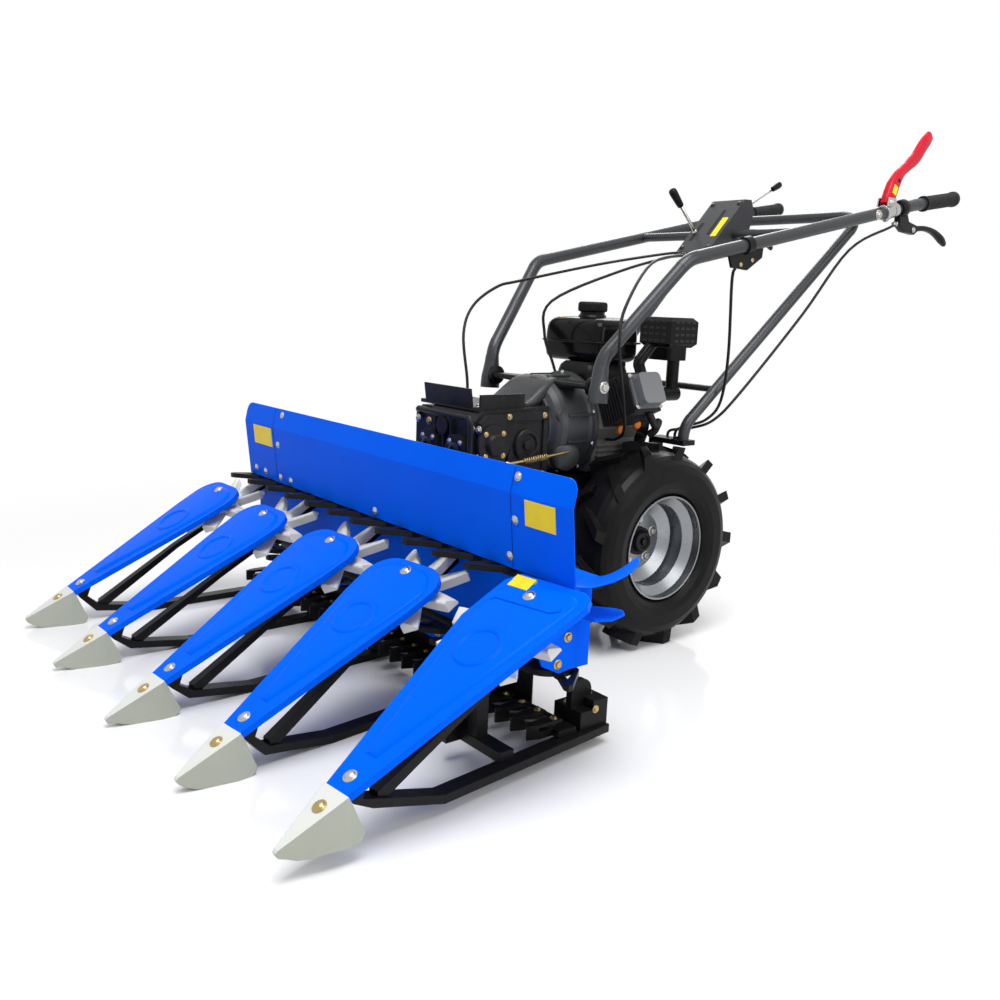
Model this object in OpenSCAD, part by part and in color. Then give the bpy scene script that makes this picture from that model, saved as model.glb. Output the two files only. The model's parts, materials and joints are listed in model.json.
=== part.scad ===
// Walk-behind power reaper: a two-wheeled motor unit with a crop-cutting header in front.
// Millimetres, +X forwards, +Y to the operator's left, +Z up, origin on the floor under the middle.

/* [Wheels] */
// Diameter over the tips of the lugs
wheel_d = 470; // [440:1:500]
// Height of the lugs above the crown of the carcass
lug_h = 16; // [12:1:22]
// Lugs on each side of a tyre
lug_count = 13; // [10:1:15]
// Width of the tyre
tyre_w = 146; // [120:1:150]
// Distance between the middles of the two tyres
track_w = 360; // [356:1:400]
// Diameter of the rim's bead seat as a share of the wheel's diameter
rim_share = 0.52; // [0.48:0.01:0.56]
// Diameter of the turning axle stubs
axle_d = 52; // [40:1:56]
// Radial running clearance of the turning pieces on their pins
running_gap = 0.06; // [0.03:0.01:0.1]

/* [Header] */
// Distance from the wheel axle forwards to the header board
board_x = 631; // [615:1:645]
// Width of the header board
board_w = 1214; // [1200:1:1240]
// Height of the lower edge of the board
board_z = 327; // [326:1:332]
// Height of the board
board_h = 180; // [140:1:210]
// Thickness of the folded sheet of the board and the dividers
sheet_t = 2.5; // [2:0.5:4]
// Height of the top of the header frame
frame_top = 306; // [300:1:308]
// Height of the bottom of the header frame
frame_bottom = 162; // [160:1:180]
// Depth of the header frame from front to back
frame_depth = 55; // [45:1:58]

/* [Conveyors] */
// Height of the chains with their lugs
chain_h = 11; // [8:1:12]
// Radius of the middle of the chain round the sprockets
chain_r = 44; // [40:1:46]
// Distance between the lugs
finger_pitch = 100; // [80:1:130]
// How far a lug stands out from the chain
finger_l = 60; // [50:1:62]

/* [Dividers] */
// Slope of the dividers down to the front, in degrees
slope = 28.5; // [27:0.5:30]
// Largest half width of a divider
divider_half = 94; // [80:1:100]
// Half width of a divider at its front end
divider_tip_half = 25; // [20:1:30]
// Depth of the turned-down edge of a divider
divider_skirt = 12; // [8:1:14]
// Length of a nose along the floor
nose_l = 100; // [92:1:120]
// Width of the flat bars of the skids
bar_w = 30; // [24:1:36]
// Height of the skid bars
skid_h = 15; // [12:1:18]
// Width of the struts from the skids to the frame
strut_w = 20; // [16:1:30]

/* [Star wheels] */
// Radius over the tips of the teeth
star_r = 114; // [100:1:114]
// Number of teeth
star_teeth = 8; // [6:1:9]
// Height of a star wheel
star_h = 20; // [14:1:20]
// Drop from the face of the divider to the top of the star wheel
star_drop = 24; // [24:1:26]
// Diameter of the star wheel shafts
star_shaft_d = 24; // [18:1:28]

/* [Cutter] */
// Distance between the guard fingers
guard_pitch = 44; // [42:1:60]
// Stroke of the knife to each side
knife_stroke = 25; // [20:1:28]
// Thickness of the knife
knife_t = 4; // [3:0.5:5]

/* [Handlebars] */
// Diameter of the handlebar tubes
bar_d = 30; // [26:1:32]
// Diameter of the support loop's tube
loop_d = 26; // [22:1:28]
// Height of the ends of the handlebars
grip_z = 1102; // [1070:1:1130]
// Length of the rubber grips
grip_l = 150; // [120:1:170]

/* [Engine] */
// Height of the crankshaft above the wheel axle
crank_rise = 270; // [266:1:280]
// Length of the fuel tank along the machine
tank_l = 142; // [120:1:150]
// Width of the fuel tank
tank_w = 200; // [160:1:212]
// Height of the fuel tank
tank_h = 105; // [90:1:112]

/* [Hidden] */
$fn = 48;

wheel_r = wheel_d / 2;
carcass_r = wheel_r - lug_h;
rim_r = wheel_r * rim_share;
axle_r = axle_d / 2;
wheel_y = track_w / 2;
touch = 0.3;
crank_z = wheel_r + crank_rise;

blue = [0.0, 0.36, 0.95];
black = [0.05, 0.05, 0.055];
cast = [0.12, 0.12, 0.13];
graphite = [0.25, 0.26, 0.28];
silver = [0.75, 0.76, 0.78];

// Dividers: [y at the rear end, y at the front end, x of the rear end, x of the joint with the nose, lift]
REAR_Y = 0;
FRONT_Y = 1;
REAR_X = 2;
JOINT_X = 3;
LIFT = 4;
divider_rows = [
    [-630, -628, 675, 1074, 0],
    [-350, -333, 685, 1090, 0],
    [-45, -11, 680, 1086, 0],
    [234, 284, 677, 1070, 0],
    [550, 596, 640, 1052, 14]
];
// The outer dividers stand this much closer together than the board is wide, and the rest spread with them
divider_inset = 34;
spread = (board_w - divider_inset) / (divider_rows[4][REAR_Y] - divider_rows[0][REAR_Y]);
dividers = [for (d = divider_rows) [d[REAR_Y] * spread, d[FRONT_Y] * spread, d[REAR_X], d[JOINT_X], d[LIFT]]];
divider_z = 296;
divider_ref_x = 677;

frame_left = board_w / 2 - 67;
frame_right = board_w / 2 + 43;
frame_front = board_x - 46;
frame_back = frame_front - frame_depth;
chain_x = frame_front - 20;
chain_end = 65;
sprocket_y = [chain_end - frame_right, frame_left - chain_end];
chain_t = 12;
upper_chain_z = frame_top + 8;
lower_chain_z = frame_bottom - 8 - chain_h;
grip_end_x = -1026;

// Star wheels: half width of a tooth, radius of the roots, place of the shafts
tooth_half = 18;
star_root = 58;
star_x = 715;
// The star wheel of the outer divider stands this far inwards of the divider's middle
outer_star_in = 38;

// Y of a point p on the face of a divider, n above the face
function reach_y(d, p, n) = d[REAR_Y] + (p.x * cos(slope) + n * sin(slope)) * sin(divider_yaw(d)) + p.y
    * cos(divider_yaw(d));
function star_rim(d) = [for (p = star_outline(star_r, tooth_half, star_root)) [p.x + star_s(d), p.y + star_t(d)]];
header_right = min([for (p = star_rim(dividers[0])) reach_y(dividers[0], p, star_z(dividers[0]))]);
header_left = max([for (p = outer_outline(run(dividers[4]) / cos(slope), 0)) reach_y(dividers[4], p, 0)]);
nose_tip_x = dividers[1][JOINT_X] + nose_l;
// Places the middle of the whole machine over the origin
axle_x = -(nose_tip_x + grip_end_x) / 2;
side_y = -(header_left + header_right) / 2;

module placed(c) {
    color(c) translate([axle_x, side_y, 0]) children();
}

// Turns +Z to the direction v
module along(v) {
    rotate([0, acos(v.z / norm(v)), atan2(v.y, v.x)]) children();
}

// A round rod between two points
module rod(a, b, r) {
    translate(a) along(b - a) cylinder(h = norm(b - a), r = r);
}

function unit(v) = v / norm(v);

function turn(p, i) = acos(unit(p[i] - p[i - 1]) * unit(p[i + 1] - p[i]));

function setback(p, i, bend) = i == 0 || i == len(p) - 1 ? 0 : bend * tan(turn(p, i) / 2);

// A bent round tube through the points p, with bends of one radius a little fuller than the straights
module pipe(p, r, bend) {
    lap = 0.5;
    swell = 0.4;
    for (i = [0 : len(p) - 2]) {
        d = unit(p[i + 1] - p[i]);
        lead = max(0, setback(p, i, bend) - lap);
        trail = max(0, setback(p, i + 1, bend) - lap);
        rod(p[i] + d * lead, p[i + 1] - d * trail, r);
    }
    for (i = [1 : len(p) - 2]) {
        y = unit(p[i] - p[i - 1]);
        z = unit(cross(y, p[i + 1] - p[i]));
        x = cross(y, z);
        c = p[i] - y * setback(p, i, bend) - x * bend;
        multmatrix([[x.x, y.x, z.x, c.x], [x.y, y.y, z.y, c.y], [x.z, y.z, z.z, c.z], [0, 0, 0, 1]])
            rotate_extrude(angle = turn(p, i)) translate([bend, 0]) circle(r = r + swell);
    }
}

// A profile drawn in X and Z, swept along Y from y0 to y1
module side_profile(points, y0, y1) {
    translate([0, y1, 0]) rotate([90, 0, 0]) linear_extrude(height = y1 - y0) polygon(points);
}

// A profile drawn in Y and Z, swept along X from x0 to x1
module front_profile(points, x0, x1) {
    translate([x0, 0, 0]) rotate([90, 0, 90]) linear_extrude(height = x1 - x0) polygon(points);
}

// A flat rectangle with round corners
module rounded(x0, x1, y0, y1, r) {
    translate([x0 + r, y0]) square([x1 - x0 - 2 * r, y1 - y0]);
    translate([x0, y0 + r]) square([x1 - x0, y1 - y0 - 2 * r]);
    for (x = [x0 + r, x1 - r], y = [y0 + r, y1 - r])
        translate([x, y]) circle(r = r);
}

// The outline of a rectangle with round corners, larger above by crown
function round_box(a0, a1, b0, b1, r, crown) = concat(
    arc([a1 - r, b0 + r], r, -90, 0, 4), arc([a1 - crown, b1 - crown], crown, 0, 90, 5),
    arc([a0 + crown, b1 - crown], crown, 90, 180, 5), arc([a0 + r, b0 + r], r, 180, 270, 4));

// The corners of a rectangle with its corners cut off by c
function cut_box(a0, a1, b0, b1, c) = [[a0 + c, b0], [a1 - c, b0], [a1, b0 + c], [a1, b1 - c],
    [a1 - c, b1], [a0 + c, b1], [a0, b1 - c], [a0, b0 + c]];

module block(x0, x1, y0, y1, z0, z1) {
    translate([x0, y0, z0]) cube([x1 - x0, y1 - y0, z1 - z0]);
}

function mirrored(p) = [for (q = p) [q.x, -q.y, q.z]];

// Wheels, drawn about +Z with the outer side up

function tyre_section(n) = [for (i = [0 : n])
    let (a = -160 + 320 * i / n, c = cos(a), s = sin(a))
    [max(rim_r, (rim_r + carcass_r) / 2 - 4 + ((carcass_r - rim_r) / 2 + 4) * sign(c) * pow(abs(c), 0.7)),
     tyre_w / 2 * sign(s) * pow(abs(s), 0.7)]];

module lug(side) {
    h = wheel_r - rim_r - 50;
    mid = 4;
    edge = tyre_w / 2 - 12;
    sweep = 46;
    lug_w = 20;
    translate([rim_r + 50, 0, 0]) rotate([90, 0, 90]) linear_extrude(height = h)
        polygon([[0, side * mid], [lug_w, side * mid], [sweep + lug_w, side * edge],
            [sweep - 4, side * edge]]);
}

module tyre() {
    rotate_extrude() polygon(tyre_section(20));
    intersection() {
        for (i = [0 : lug_count - 1])
            for (side = [-1, 1])
                rotate(i * 360 / lug_count + (side > 0 ? 0 : 180 / lug_count)) lug(side);
        cylinder(h = tyre_w, r = wheel_r, center = true);
    }
}

module rim() {
    wall = 4;
    seat_r = rim_r - touch;
    half = tyre_w / 2 - 12;
    well_r = seat_r - 20;
    disc_w = -33;
    rotate_extrude() polygon([
        [seat_r, half], [seat_r - wall, half], [seat_r - wall, 40], [well_r - wall, 24],
        [well_r - wall, -14], [70, disc_w + wall], [34, disc_w + wall], [34, disc_w],
        [72, disc_w], [well_r - wall, -22], [well_r - wall, -26], [seat_r - wall, -42],
            [seat_r - wall, -half],
        [seat_r, -half], [seat_r, -40], [well_r, -24], [well_r, 22], [seat_r, 38]
    ]);
}

module hub() {
    disc_w = -33;
    inner_end = -112;
    translate([0, 0, inner_end]) cylinder(h = disc_w + 20 - inner_end, r = axle_r);
    translate([0, 0, disc_w - 12]) cylinder(h = 12, r = 62);
    translate([0, 0, disc_w]) cylinder(h = 14, r = 33);
}

module wheel_place(side) {
    translate([0, side * wheel_y, wheel_r]) rotate([-90 * side, 0, 0]) children();
}

module tyre_left() { placed(black) wheel_place(1) tyre(); }
module tyre_right() { placed(black) wheel_place(-1) tyre(); }
module rim_left() { placed(silver) wheel_place(1) rim(); }
module rim_right() { placed(silver) wheel_place(-1) rim(); }
module hub_left() { placed(black) wheel_place(1) hub(); }
module hub_right() { placed(black) wheel_place(-1) hub(); }

// Transmission

case_top = wheel_r + 153;
case_front = 335;
hitch_x = -158;

module gearbox_case() {
    tube_end = 100;
    bore_depth = 42;
    z = wheel_r;
    placed(cast) difference() {
        union() {
            side_profile([[-120, case_top], [case_front, case_top], [case_front, z + 35], [300, z + 5],
                [150, z - 30],
                [60, z - 75], [-60, z - 75], [-95, z - 35], [-95, z + 65], [-120, z + 95]], -65, 65);
            translate([0, -76, z]) rotate([-90, 0, 0]) cylinder(h = 152, r = 88);
            translate([0, -tube_end, z]) rotate([-90, 0, 0]) cylinder(h = 2 * tube_end, r = 42);
            block(hitch_x - 27, -90, -30, 30, z - 15, z + 15);
        }
        for (side = [-1, 1])
            translate([0, side * (tube_end - bore_depth), z]) rotate([-90 * side, 0, 0])
                cylinder(h = bore_depth + 1, r = axle_r + running_gap);
        translate([hitch_x, 0, z - 35]) cylinder(h = 70, r = 9);
    }
}

bell_back = 118;
bell_l = 122;
bell_r = 112;
bell_flange = bell_r + 8;

module gearbox_front() {
    back = bell_back + bell_l;
    z = case_top;
    tray_z = z + 160;
    placed(cast) {
        side_profile([[back, z], [430, z], [445, z + 30], [445, z + 140], [425, z + 160],
            [back, z + 166]], -92, 84);
        side_profile([[370, z + 22], [428, z + 22], [440, z + 38], [440, z + 138], [424, z + 154],
            [370, z + 154]], -142, 98);
        for (b = [[-72, 72, 36], [30, 72, 36], [-20, 122, 20]])
            translate([438, b.x, z + b.y]) rotate([0, 90, 0]) cylinder(h = 18, r = b.z);
        block(290, 430, -140, 70, tray_z, tray_z + 8);
        side_profile([[424, tray_z + 4], [430, tray_z + 4], [436, tray_z + 46], [430, tray_z + 46]],
            -120, 50);
        front_profile([[64, tray_z + 4], [70, tray_z + 4], [70, tray_z + 34], [64, tray_z + 34]], 300, 420);
        pipe([[434, -116, z + 128], [458, -116, z + 150], [458, 88, z + 148], [458, 88, z + 48],
            [436, 88, z + 48]], 6, 14);
    }
}

module clutch_housing() {
    neck = 88;
    placed([0.2, 0.2, 0.21]) difference() {
        translate([bell_back, 0, crank_z]) rotate([0, 90, 0]) rotate_extrude()
            polygon([[0, 0], [bell_flange, 0], [bell_flange, 12], [bell_r + 2, 15], [bell_r, 24],
                [bell_r, bell_l - 34], [bell_r - 4, bell_l - 22], [bell_r - 12, bell_l - 12],
                [neck, bell_l - 4], [neck, bell_l], [0, bell_l]]);
        block(bell_back - 1, bell_back + bell_l + 1, -bell_flange, bell_flange, 0, case_top);
    }
}

// Engine

mount_t = 10;
mount_top = case_top + mount_t;
foot_z = 2 * wheel_r + 4;
block_back = -20;
cylinder_x = 50;
cylinder_tilt = 25;
barrel_start = 100;

// Y and Z of a point t along the cylinder's axis and up across it
function cylinder_point(t, up) = [t * cos(cylinder_tilt) - up * sin(cylinder_tilt),
    crank_z + t * sin(cylinder_tilt) + up * cos(cylinder_tilt)];

module cylinder_frame() {
    translate([cylinder_x, 0, crank_z]) rotate([cylinder_tilt - 90, 0, 0]) children();
}

module engine_mount() {
    arm = 101;
    placed(black) {
        block(-122, 112, -80, 80, case_top, mount_top);
        block(-122, -80, -arm, arm, case_top, mount_top);
        for (y = [-arm, arm - 9])
            block(-122, -80, y, y + 9, case_top, foot_z);
        for (y = [-200, arm - 9])
            block(-122, -80, y, y + 200 - arm + 9, foot_z - 12, foot_z);
    }
}

module engine_block() {
    low = mount_top;
    placed([0.16, 0.16, 0.17]) {
        front_profile([[-85, low], [85, low], [98, low + 12], [100, crank_z - 30],
            cylinder_point(barrel_start, -50),
            cylinder_point(barrel_start, 50), [50, crank_z + 97], [-70, crank_z + 97], [-92, crank_z + 75],
            [-95, low + 16]], block_back, bell_back);
        for (i = [0 : 3])
            block(block_back + 6, bell_back - 14, 90, 104, low + 24 + i * 12, low + 28 + i * 12);
        for (y = [-60, 20])
            translate([40, y, crank_z + 90]) cylinder(h = tank_z - crank_z - 90, r = 9);
    }
}

module cylinder_head() {
    fin_pitch = 9;
    fins = 8;
    head_start = barrel_start + fins * fin_pitch;
    placed(black) cylinder_frame() {
        translate([0, 0, barrel_start]) cylinder(h = fins * fin_pitch, r = 37);
        for (i = [0 : fins - 1])
            translate([-46, -48, barrel_start + 3 + i * fin_pitch]) cube([92, 96, 4]);
        translate([-42, -46, head_start]) cube([84, 92, 32]);
        translate([0, 0, head_start + 32]) linear_extrude(height = 6) rounded(-38, 38, -40, 40, 8);
        translate([0, 0, head_start + 38]) linear_extrude(height = 24) rounded(-34, 34, -36, 36, 12);
    }
}

fan_l = 45;

module fan_housing() {
    x = block_back - fan_l;
    placed(black) {
        translate([x, 0, crank_z]) rotate([0, 90, 0]) cylinder(h = fan_l, r = 104);
        for (y = [-60, 20])
            translate([x + 20, y, crank_z + 70]) cylinder(h = tank_z - crank_z - 70, r = 9);
    }
}

module recoil_starter() {
    placed(black) translate([block_back - fan_l, 0, crank_z]) rotate([0, -90, 0]) rotate_extrude()
        polygon([[0, 0], [90, 0], [90, 12], [78, 26], [30, 35], [0, 35]]);
}

tank_z = crank_z + 140;
tank_front = 62;
tank_left = 45;

module fuel_tank() {
    back = tank_front - tank_l;
    right = tank_left - tank_w;
    top = tank_z + tank_h;
    lip = 8;
    crown = 24;
    placed(black) {
        intersection() {
            translate([0, 0, tank_z]) linear_extrude(height = tank_h) rounded(back, tank_front, right,
                tank_left, 20);
            side_profile(round_box(back, tank_front, tank_z, top, 14, crown), right, tank_left);
            front_profile(round_box(right, tank_left, tank_z, top, 14, crown), back, tank_front);
        }
        translate([0, 0, tank_z + tank_h * 0.42]) linear_extrude(height = 4)
            rounded(back - lip, tank_front + lip, right - lip, tank_left + lip, 26);
    }
}

module fuel_cap() {
    placed(black) translate([tank_front - tank_l / 2, tank_left - tank_w / 2, tank_z + tank_h]) {
        cylinder(h = 18, r = 27);
        translate([0, 0, 14]) cylinder(h = 26, r = 35);
    }
}

module muffler() {
    perp = [0, -sin(cylinder_tilt), cos(cylinder_tilt)];
    port = cylinder_point(188, 46);
    start = [cylinder_x - 26, port.x, port.y];
    placed(black) {
        intersection() {
            block(-84, 7, 122, 215, crank_z + 185, crank_z + 252);
            side_profile(cut_box(-84, 7, crank_z + 185, crank_z + 252, 9), 122, 215);
            front_profile(cut_box(122, 215, crank_z + 185, crank_z + 252, 9), -84, 7);
        }
        pipe([start, start + perp * 30, [-20, 150, crank_z + 205]], 13, 20);
    }
}

module air_cleaner() {
    neck = [-132, 106, crank_z + 70];
    placed(black) {
        translate([0, 0, crank_z + 150]) linear_extrude(height = 62) rounded(-165, -102, 40, 122, 12);
        translate([0, 0, crank_z + 212]) linear_extrude(height = 18) rounded(-161, -106, 44, 118, 12);
        translate(neck) cylinder(h = 84, r = 15);
        translate(neck - [16, 0, 0]) rotate([0, 90, 0]) cylinder(h = cylinder_x - 46 - neck.x + 16, r = 17);
    }
}

// Handlebars

bar_r = bar_d / 2;
loop_r = loop_d / 2;
bar_foot_y = 189;
bar_points = [[195, bar_foot_y, crank_z + 70], [190, bar_foot_y, crank_z + 160], [8, 251, crank_z + 377],
    [-845, 276, grip_z - 31], [-1022, 285, grip_z]];

// The point on the straight upper run of the left handlebar at x
function bar_at(x) = bar_points[2] + (bar_points[3] - bar_points[2])
    * (x - bar_points[2].x) / (bar_points[3].x - bar_points[2].x);

loop_top = bar_at(-660) - [0, bar_r + loop_r + touch, 0];
loop_points = [[-98, 184, foot_z], [-98, 184, foot_z + 32], loop_top, [loop_top.x, 0, loop_top.z]];

// Ears on both sides of the bell for the feet of the handlebars
module handle_bracket() {
    ear = bar_foot_y - bar_r - touch;
    z = crank_z + 98;
    placed(black) difference() {
        union() {
            front_profile([[-ear, z - 6], [-ear, z + 6], [ear, z + 6], [ear, z - 6], [40, z - 50],
                [-40, z - 50]], 150, 204);
            for (side = [-1, 1])
                translate([192, side * (ear - 5), z]) rotate([90, 0, 0]) cylinder(h = 10, r = 31, center = true);
        }
        translate([bell_back, 0, crank_z]) rotate([0, 90, 0]) cylinder(h = bell_l, r = bell_r + touch);
    }
}

module handlebar_left() { placed(graphite) pipe(bar_points, bar_r, 70); }
module handlebar_right() { placed(graphite) pipe(mirrored(bar_points), bar_r, 70); }
module loop_left() { placed(graphite) pipe(loop_points, loop_r, 60); }
module loop_right() { placed(graphite) pipe(mirrored(loop_points), loop_r, 60); }

// The point on the sloping run of the left loop at x
function loop_at(x) = loop_points[1] + (loop_points[2] - loop_points[1])
    * (x - loop_points[1].x) / (loop_points[2].x - loop_points[1].x);

module loop_bar() {
    p = loop_at(-190) - [0, loop_r + touch, 0];
    placed(graphite) rod([p.x, -p.y, p.z], p, 8);
}

console_x = -380;
console_z = bar_at(console_x).z;
console_bar_r = 11;

module console_bar() {
    end = bar_at(console_x).y - bar_r - touch;
    placed(graphite) rod([console_x, -end, console_z], [console_x, end, console_z], console_bar_r);
}

// The sloping top of the console in X and Z, front end and rear end
console_front = [-284, console_z - 46];
console_rear = [-412, console_z + 89];

module console() {
    z = console_z;
    placed(graphite) difference() {
        side_profile([console_front - [0, 10], console_front, console_rear, [-440, z + 90],
            [-453, z + 62], [-440, z + 14], [-404, z - 20]], -45, 58);
        rod([console_x, -60, z], [console_x, 70, z], console_bar_r + 0.1);
    }
}

module lever(foot, v, l, knob) {
    rod(foot, foot + unit(v) * (l - 10), 5);
    rod(foot + unit(v) * (l - knob), foot + unit(v) * l, 9);
}

module gear_levers() {
    slope_dir = console_rear - console_front;
    foot = console_front + slope_dir * 0.36;
    side_lever_x = -818;
    placed(black) {
        lever([foot.x, -25, foot.y], [slope_dir.y, 0, -slope_dir.x], 142, 54);
        mirror([0, 1, 0]) bar_collar(side_lever_x, 21, 16)
            lever(bar_at(side_lever_x) + [0, 0, bar_r], [-205, 13, 101], 229, 44);
    }
}

module grip(side) {
    p = side > 0 ? bar_points : mirrored(bar_points);
    tip = p[4];
    d = unit(tip - p[3]);
    difference() {
        rod(tip - d * (grip_l - 4), tip + d * 4, 18);
        rod(tip - d * grip_l, tip, bar_r + 0.1);
    }
}

module grip_left() { placed(black) grip(1); }
module grip_right() { placed(black) grip(-1); }

// A collar round the left handlebar at x, with the children that it carries
module bar_collar(x, r, l) {
    d = unit(bar_points[3] - bar_points[2]);
    difference() {
        union() {
            rod(bar_at(x) - d * l / 2, bar_at(x) + d * l / 2, r);
            children();
        }
        rod(bar_at(x) - d * 80, bar_at(x) + d * 80, bar_r + 0.1);
    }
}

module clutch_lever() {
    z = bar_at(-712).z;
    placed("red") bar_collar(-712, 26, 34)
        side_profile([[-700, z + 17], [-724, z + 17], [-790, z + 119], [-880, z + 201], [-868, z + 211],
            [-770, z + 137]], 266, 278);
}

module brake_levers() {
    z = bar_at(-780).z;
    placed(black)
        for (side = [0, 1])
            mirror([0, side, 0]) bar_collar(-780, 23, 26) {
                block(-850, -768, 268, 282, z - 56, z - 18);
                rod([-836, 276, z - 48], [-990, 284, z - 78], 7);
            }
}

module lever_quadrant() {
    z = bar_at(-180).z;
    y = bar_at(-180).y;
    placed(black) bar_collar(-180, 20, 20)
        side_profile([[-118, z - 26], [-130, z - 52], [-185, z - 55], [-236, z - 24], [-238, z],
            [-120, z - 16]], y - 3, y + 3);
}

// A smooth curve through the points p, with n steps between two points
function knot(a, b, c, d, t) = (2 * b + (c - a) * t + (2 * a - 5 * b + 4 * c - d) * t * t + (3
    * b - a - 3 * c + d) * t * t * t) / 2;
function smooth_path(p, n) = concat([for (i = [0 : len(p) - 2], k = [0 : n - 1])
    knot(p[max(0, i - 1)], p[i], p[i + 1], p[min(len(p) - 1, i + 2)], k / n)], [p[len(p) - 1]]);

module cable(route) {
    r = 3.5;
    sides = 8;
    path = smooth_path(route, 6);
    last = len(path) - 1;
    points = [for (i = [0 : last])
        let (t = unit(path[min(last, i + 1)] - path[max(0, i - 1)]), u = unit(cross(t, [0.1, 1, 0.15])),
            v = cross(t, u))
        for (k = [0 : sides - 1]) path[i] + r * (cos(k * 360 / sides) * u + sin(k * 360 / sides) * v)];
    walls = [for (i = [0 : last - 1], k = [0 : sides - 1], h = [0, 1])
        let (a = i * sides + k, b = i * sides + (k + 1) % sides)
        h == 0 ? [a, b, b + sides] : [a, b + sides, a + sides]];
    polyhedron(points, concat([[for (k = [sides - 1 : -1 : 0]) k]], [[for (k = [0 : sides - 1]) last
        * sides + k]], walls));
}

// Routes of the cables: heights above the crankshaft for the lower points
up = crank_z;
console_end = console_front + [touch, -5];
cable_routes = [
    [[console_end.x, -20, console_end.y], [-235, -35, console_end.y - 4], [-95, -130, up + 375],
        [110, -190, up + 325],
        [180, -195, up + 307], [258, -185, up + 260], [298, -165, up + 195], [308, -132, up + 95],
            [308, -128, case_top + 168]],
    [[console_end.x, 15, console_end.y], [-230, 10, console_end.y - 8], [-80, -40, up + 357],
        [95, -90, up + 278], [108, -95, up + 200], [96, -75, up + 135], [90, -62, up + 97 + touch]],
    [[console_end.x, 40, console_end.y], [-215, 48, console_end.y - 10], [-30, 110, up + 372],
        [145, 205, up + 270],
        [182, 230, up + 200], [166, 224, up + 135], [120, 195, up + 60], [85, 165, up - 5],
            [75, 130, up - 27], [75, 100 + touch, up - 31]],
    [[-145, bar_at(-180).y, bar_at(-180).z - 53.2], [-146, 250, up + 335], [-168, 240, up + 170],
        [-185, 215, up + 60],
        [-168, 190, up + 15], [-135, 160, up - 2], [-112, 150, up - 12], [-108, 148, foot_z + touch]],
    [[touch - 768, 275, bar_at(-780).z - 40], [-735, 274, bar_at(-780).z - 52], [-575, 266, up + 433],
        [-435, 245, up + 270],
        [-245, 228, up + 85], [-185, 200, up + 15], [-150, 160, up - 8],
        [-120, 125, up - 16], [-114, 120, foot_z + touch]]
];

module control_cables() {
    placed(black)
        for (route = cable_routes) cable(route);
}

// Header

module header_mount() {
    placed(cast) {
        side_profile([[case_front, case_top], [case_front, wheel_r + 35], [420, 190],
            [frame_back - 6, 176], [frame_back - 6, 300], [460, 300], [440, case_top]], -55, 55);
        block(frame_back - 6, frame_back, -110, 110, frame_bottom, frame_top);
    }
}

apron_y = [sprocket_y[0] + chain_r + 11, sprocket_y[1] - chain_r - 11];

module header_frame() {
    wall = 4;
    apron_bottom = frame_bottom - 58;
    placed(blue) {
        side_profile([[frame_back, frame_bottom], [frame_front, frame_bottom], [frame_front, frame_top],
            [frame_back, frame_top], [frame_back, frame_top - wall], [frame_front - wall, frame_top - wall],
            [frame_front - wall, frame_bottom + wall], [frame_back, frame_bottom + wall]], -frame_right,
                frame_left);
        block(frame_front - wall, frame_front, apron_y[0], apron_y[1], apron_bottom, frame_bottom);
    }
}

module end_plates() {
    t = 4;
    gusset_y = frame_left + 26;
    placed(blue) {
        for (y = [-frame_right - t, frame_left])
            block(frame_back, frame_front, y, y + t, frame_bottom, frame_top);
        block(frame_front, frame_front + t, frame_left - 40, gusset_y, 175, 250);
        side_profile([[frame_front, 175], [618, 171], [655, 190], [672, 228], [600, 250], [frame_front, 250]],
            gusset_y - t, gusset_y);
    }
}

module header_board() {
    t = sheet_t;
    top = board_z + board_h;
    crease = top - 46;
    crease_x = board_x + 14;
    top_x = crease_x - 10;
    flange = 90;
    corner = 22;
    placed(blue) {
        intersection() {
            side_profile([[board_x, board_z], [crease_x, crease], [top_x, top], [top_x - t, top],
                [crease_x - t, crease], [board_x - t, board_z + t], [board_x - flange, board_z + t],
                [board_x - flange, board_z]], -board_w / 2, board_w / 2);
            front_profile(round_box(-board_w / 2, board_w / 2, board_z - 1, top, 0.5, corner),
                board_x - flange - 1, crease_x + 1);
        }
        translate([chain_x, sprocket_y[0], board_z]) cylinder(h = t, r = chain_r + 12);
    }
}

module chain_rails() {
    rail = 2;
    placed(black) {
        block(frame_front, frame_front + rail, -frame_right, frame_left, frame_top - 14, upper_chain_z - 2);
        block(frame_front, frame_front + rail, apron_y[0], apron_y[1], lower_chain_z - 10, frame_bottom - 2);
    }
}

module racetrack(r, h) {
    for (y = sprocket_y)
        translate([chain_x, y, 0]) cylinder(h = h, r = r);
    block(chain_x - r, chain_x + r, sprocket_y[0], sprocket_y[1], 0, h);
}

// A swept-back lug with a hole, pointing along +X
module finger() {
    l = finger_l;
    difference() {
        linear_extrude(height = chain_h) polygon([[-2, -24], [10, -26], [l - 10, -48], [l, -46],
            [l - 2, -34], [14, 20], [-2, 26]]);
        translate([0, 0, -1]) linear_extrude(height = chain_h + 2)
            polygon([[6, -14], [l * 0.6, -27], [15, 6], [6, 12]]);
    }
}

module conveyor(z) {
    outer = chain_r + chain_t / 2;
    inner = chain_r - chain_t / 2;
    translate([0, 0, z]) {
        difference() {
            racetrack(outer, chain_h);
            translate([0, 0, -1]) racetrack(inner, chain_h + 2);
        }
        for (y = [sprocket_y[0] : finger_pitch : sprocket_y[1] - 50])
            translate([chain_x + outer, y, 0]) finger();
        translate([chain_x, sprocket_y[1] + outer, 0]) rotate(90) finger();
    }
}

module conveyor_upper() { placed(black) conveyor(upper_chain_z); }
module conveyor_lower() { placed(black) conveyor(lower_chain_z); }

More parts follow.
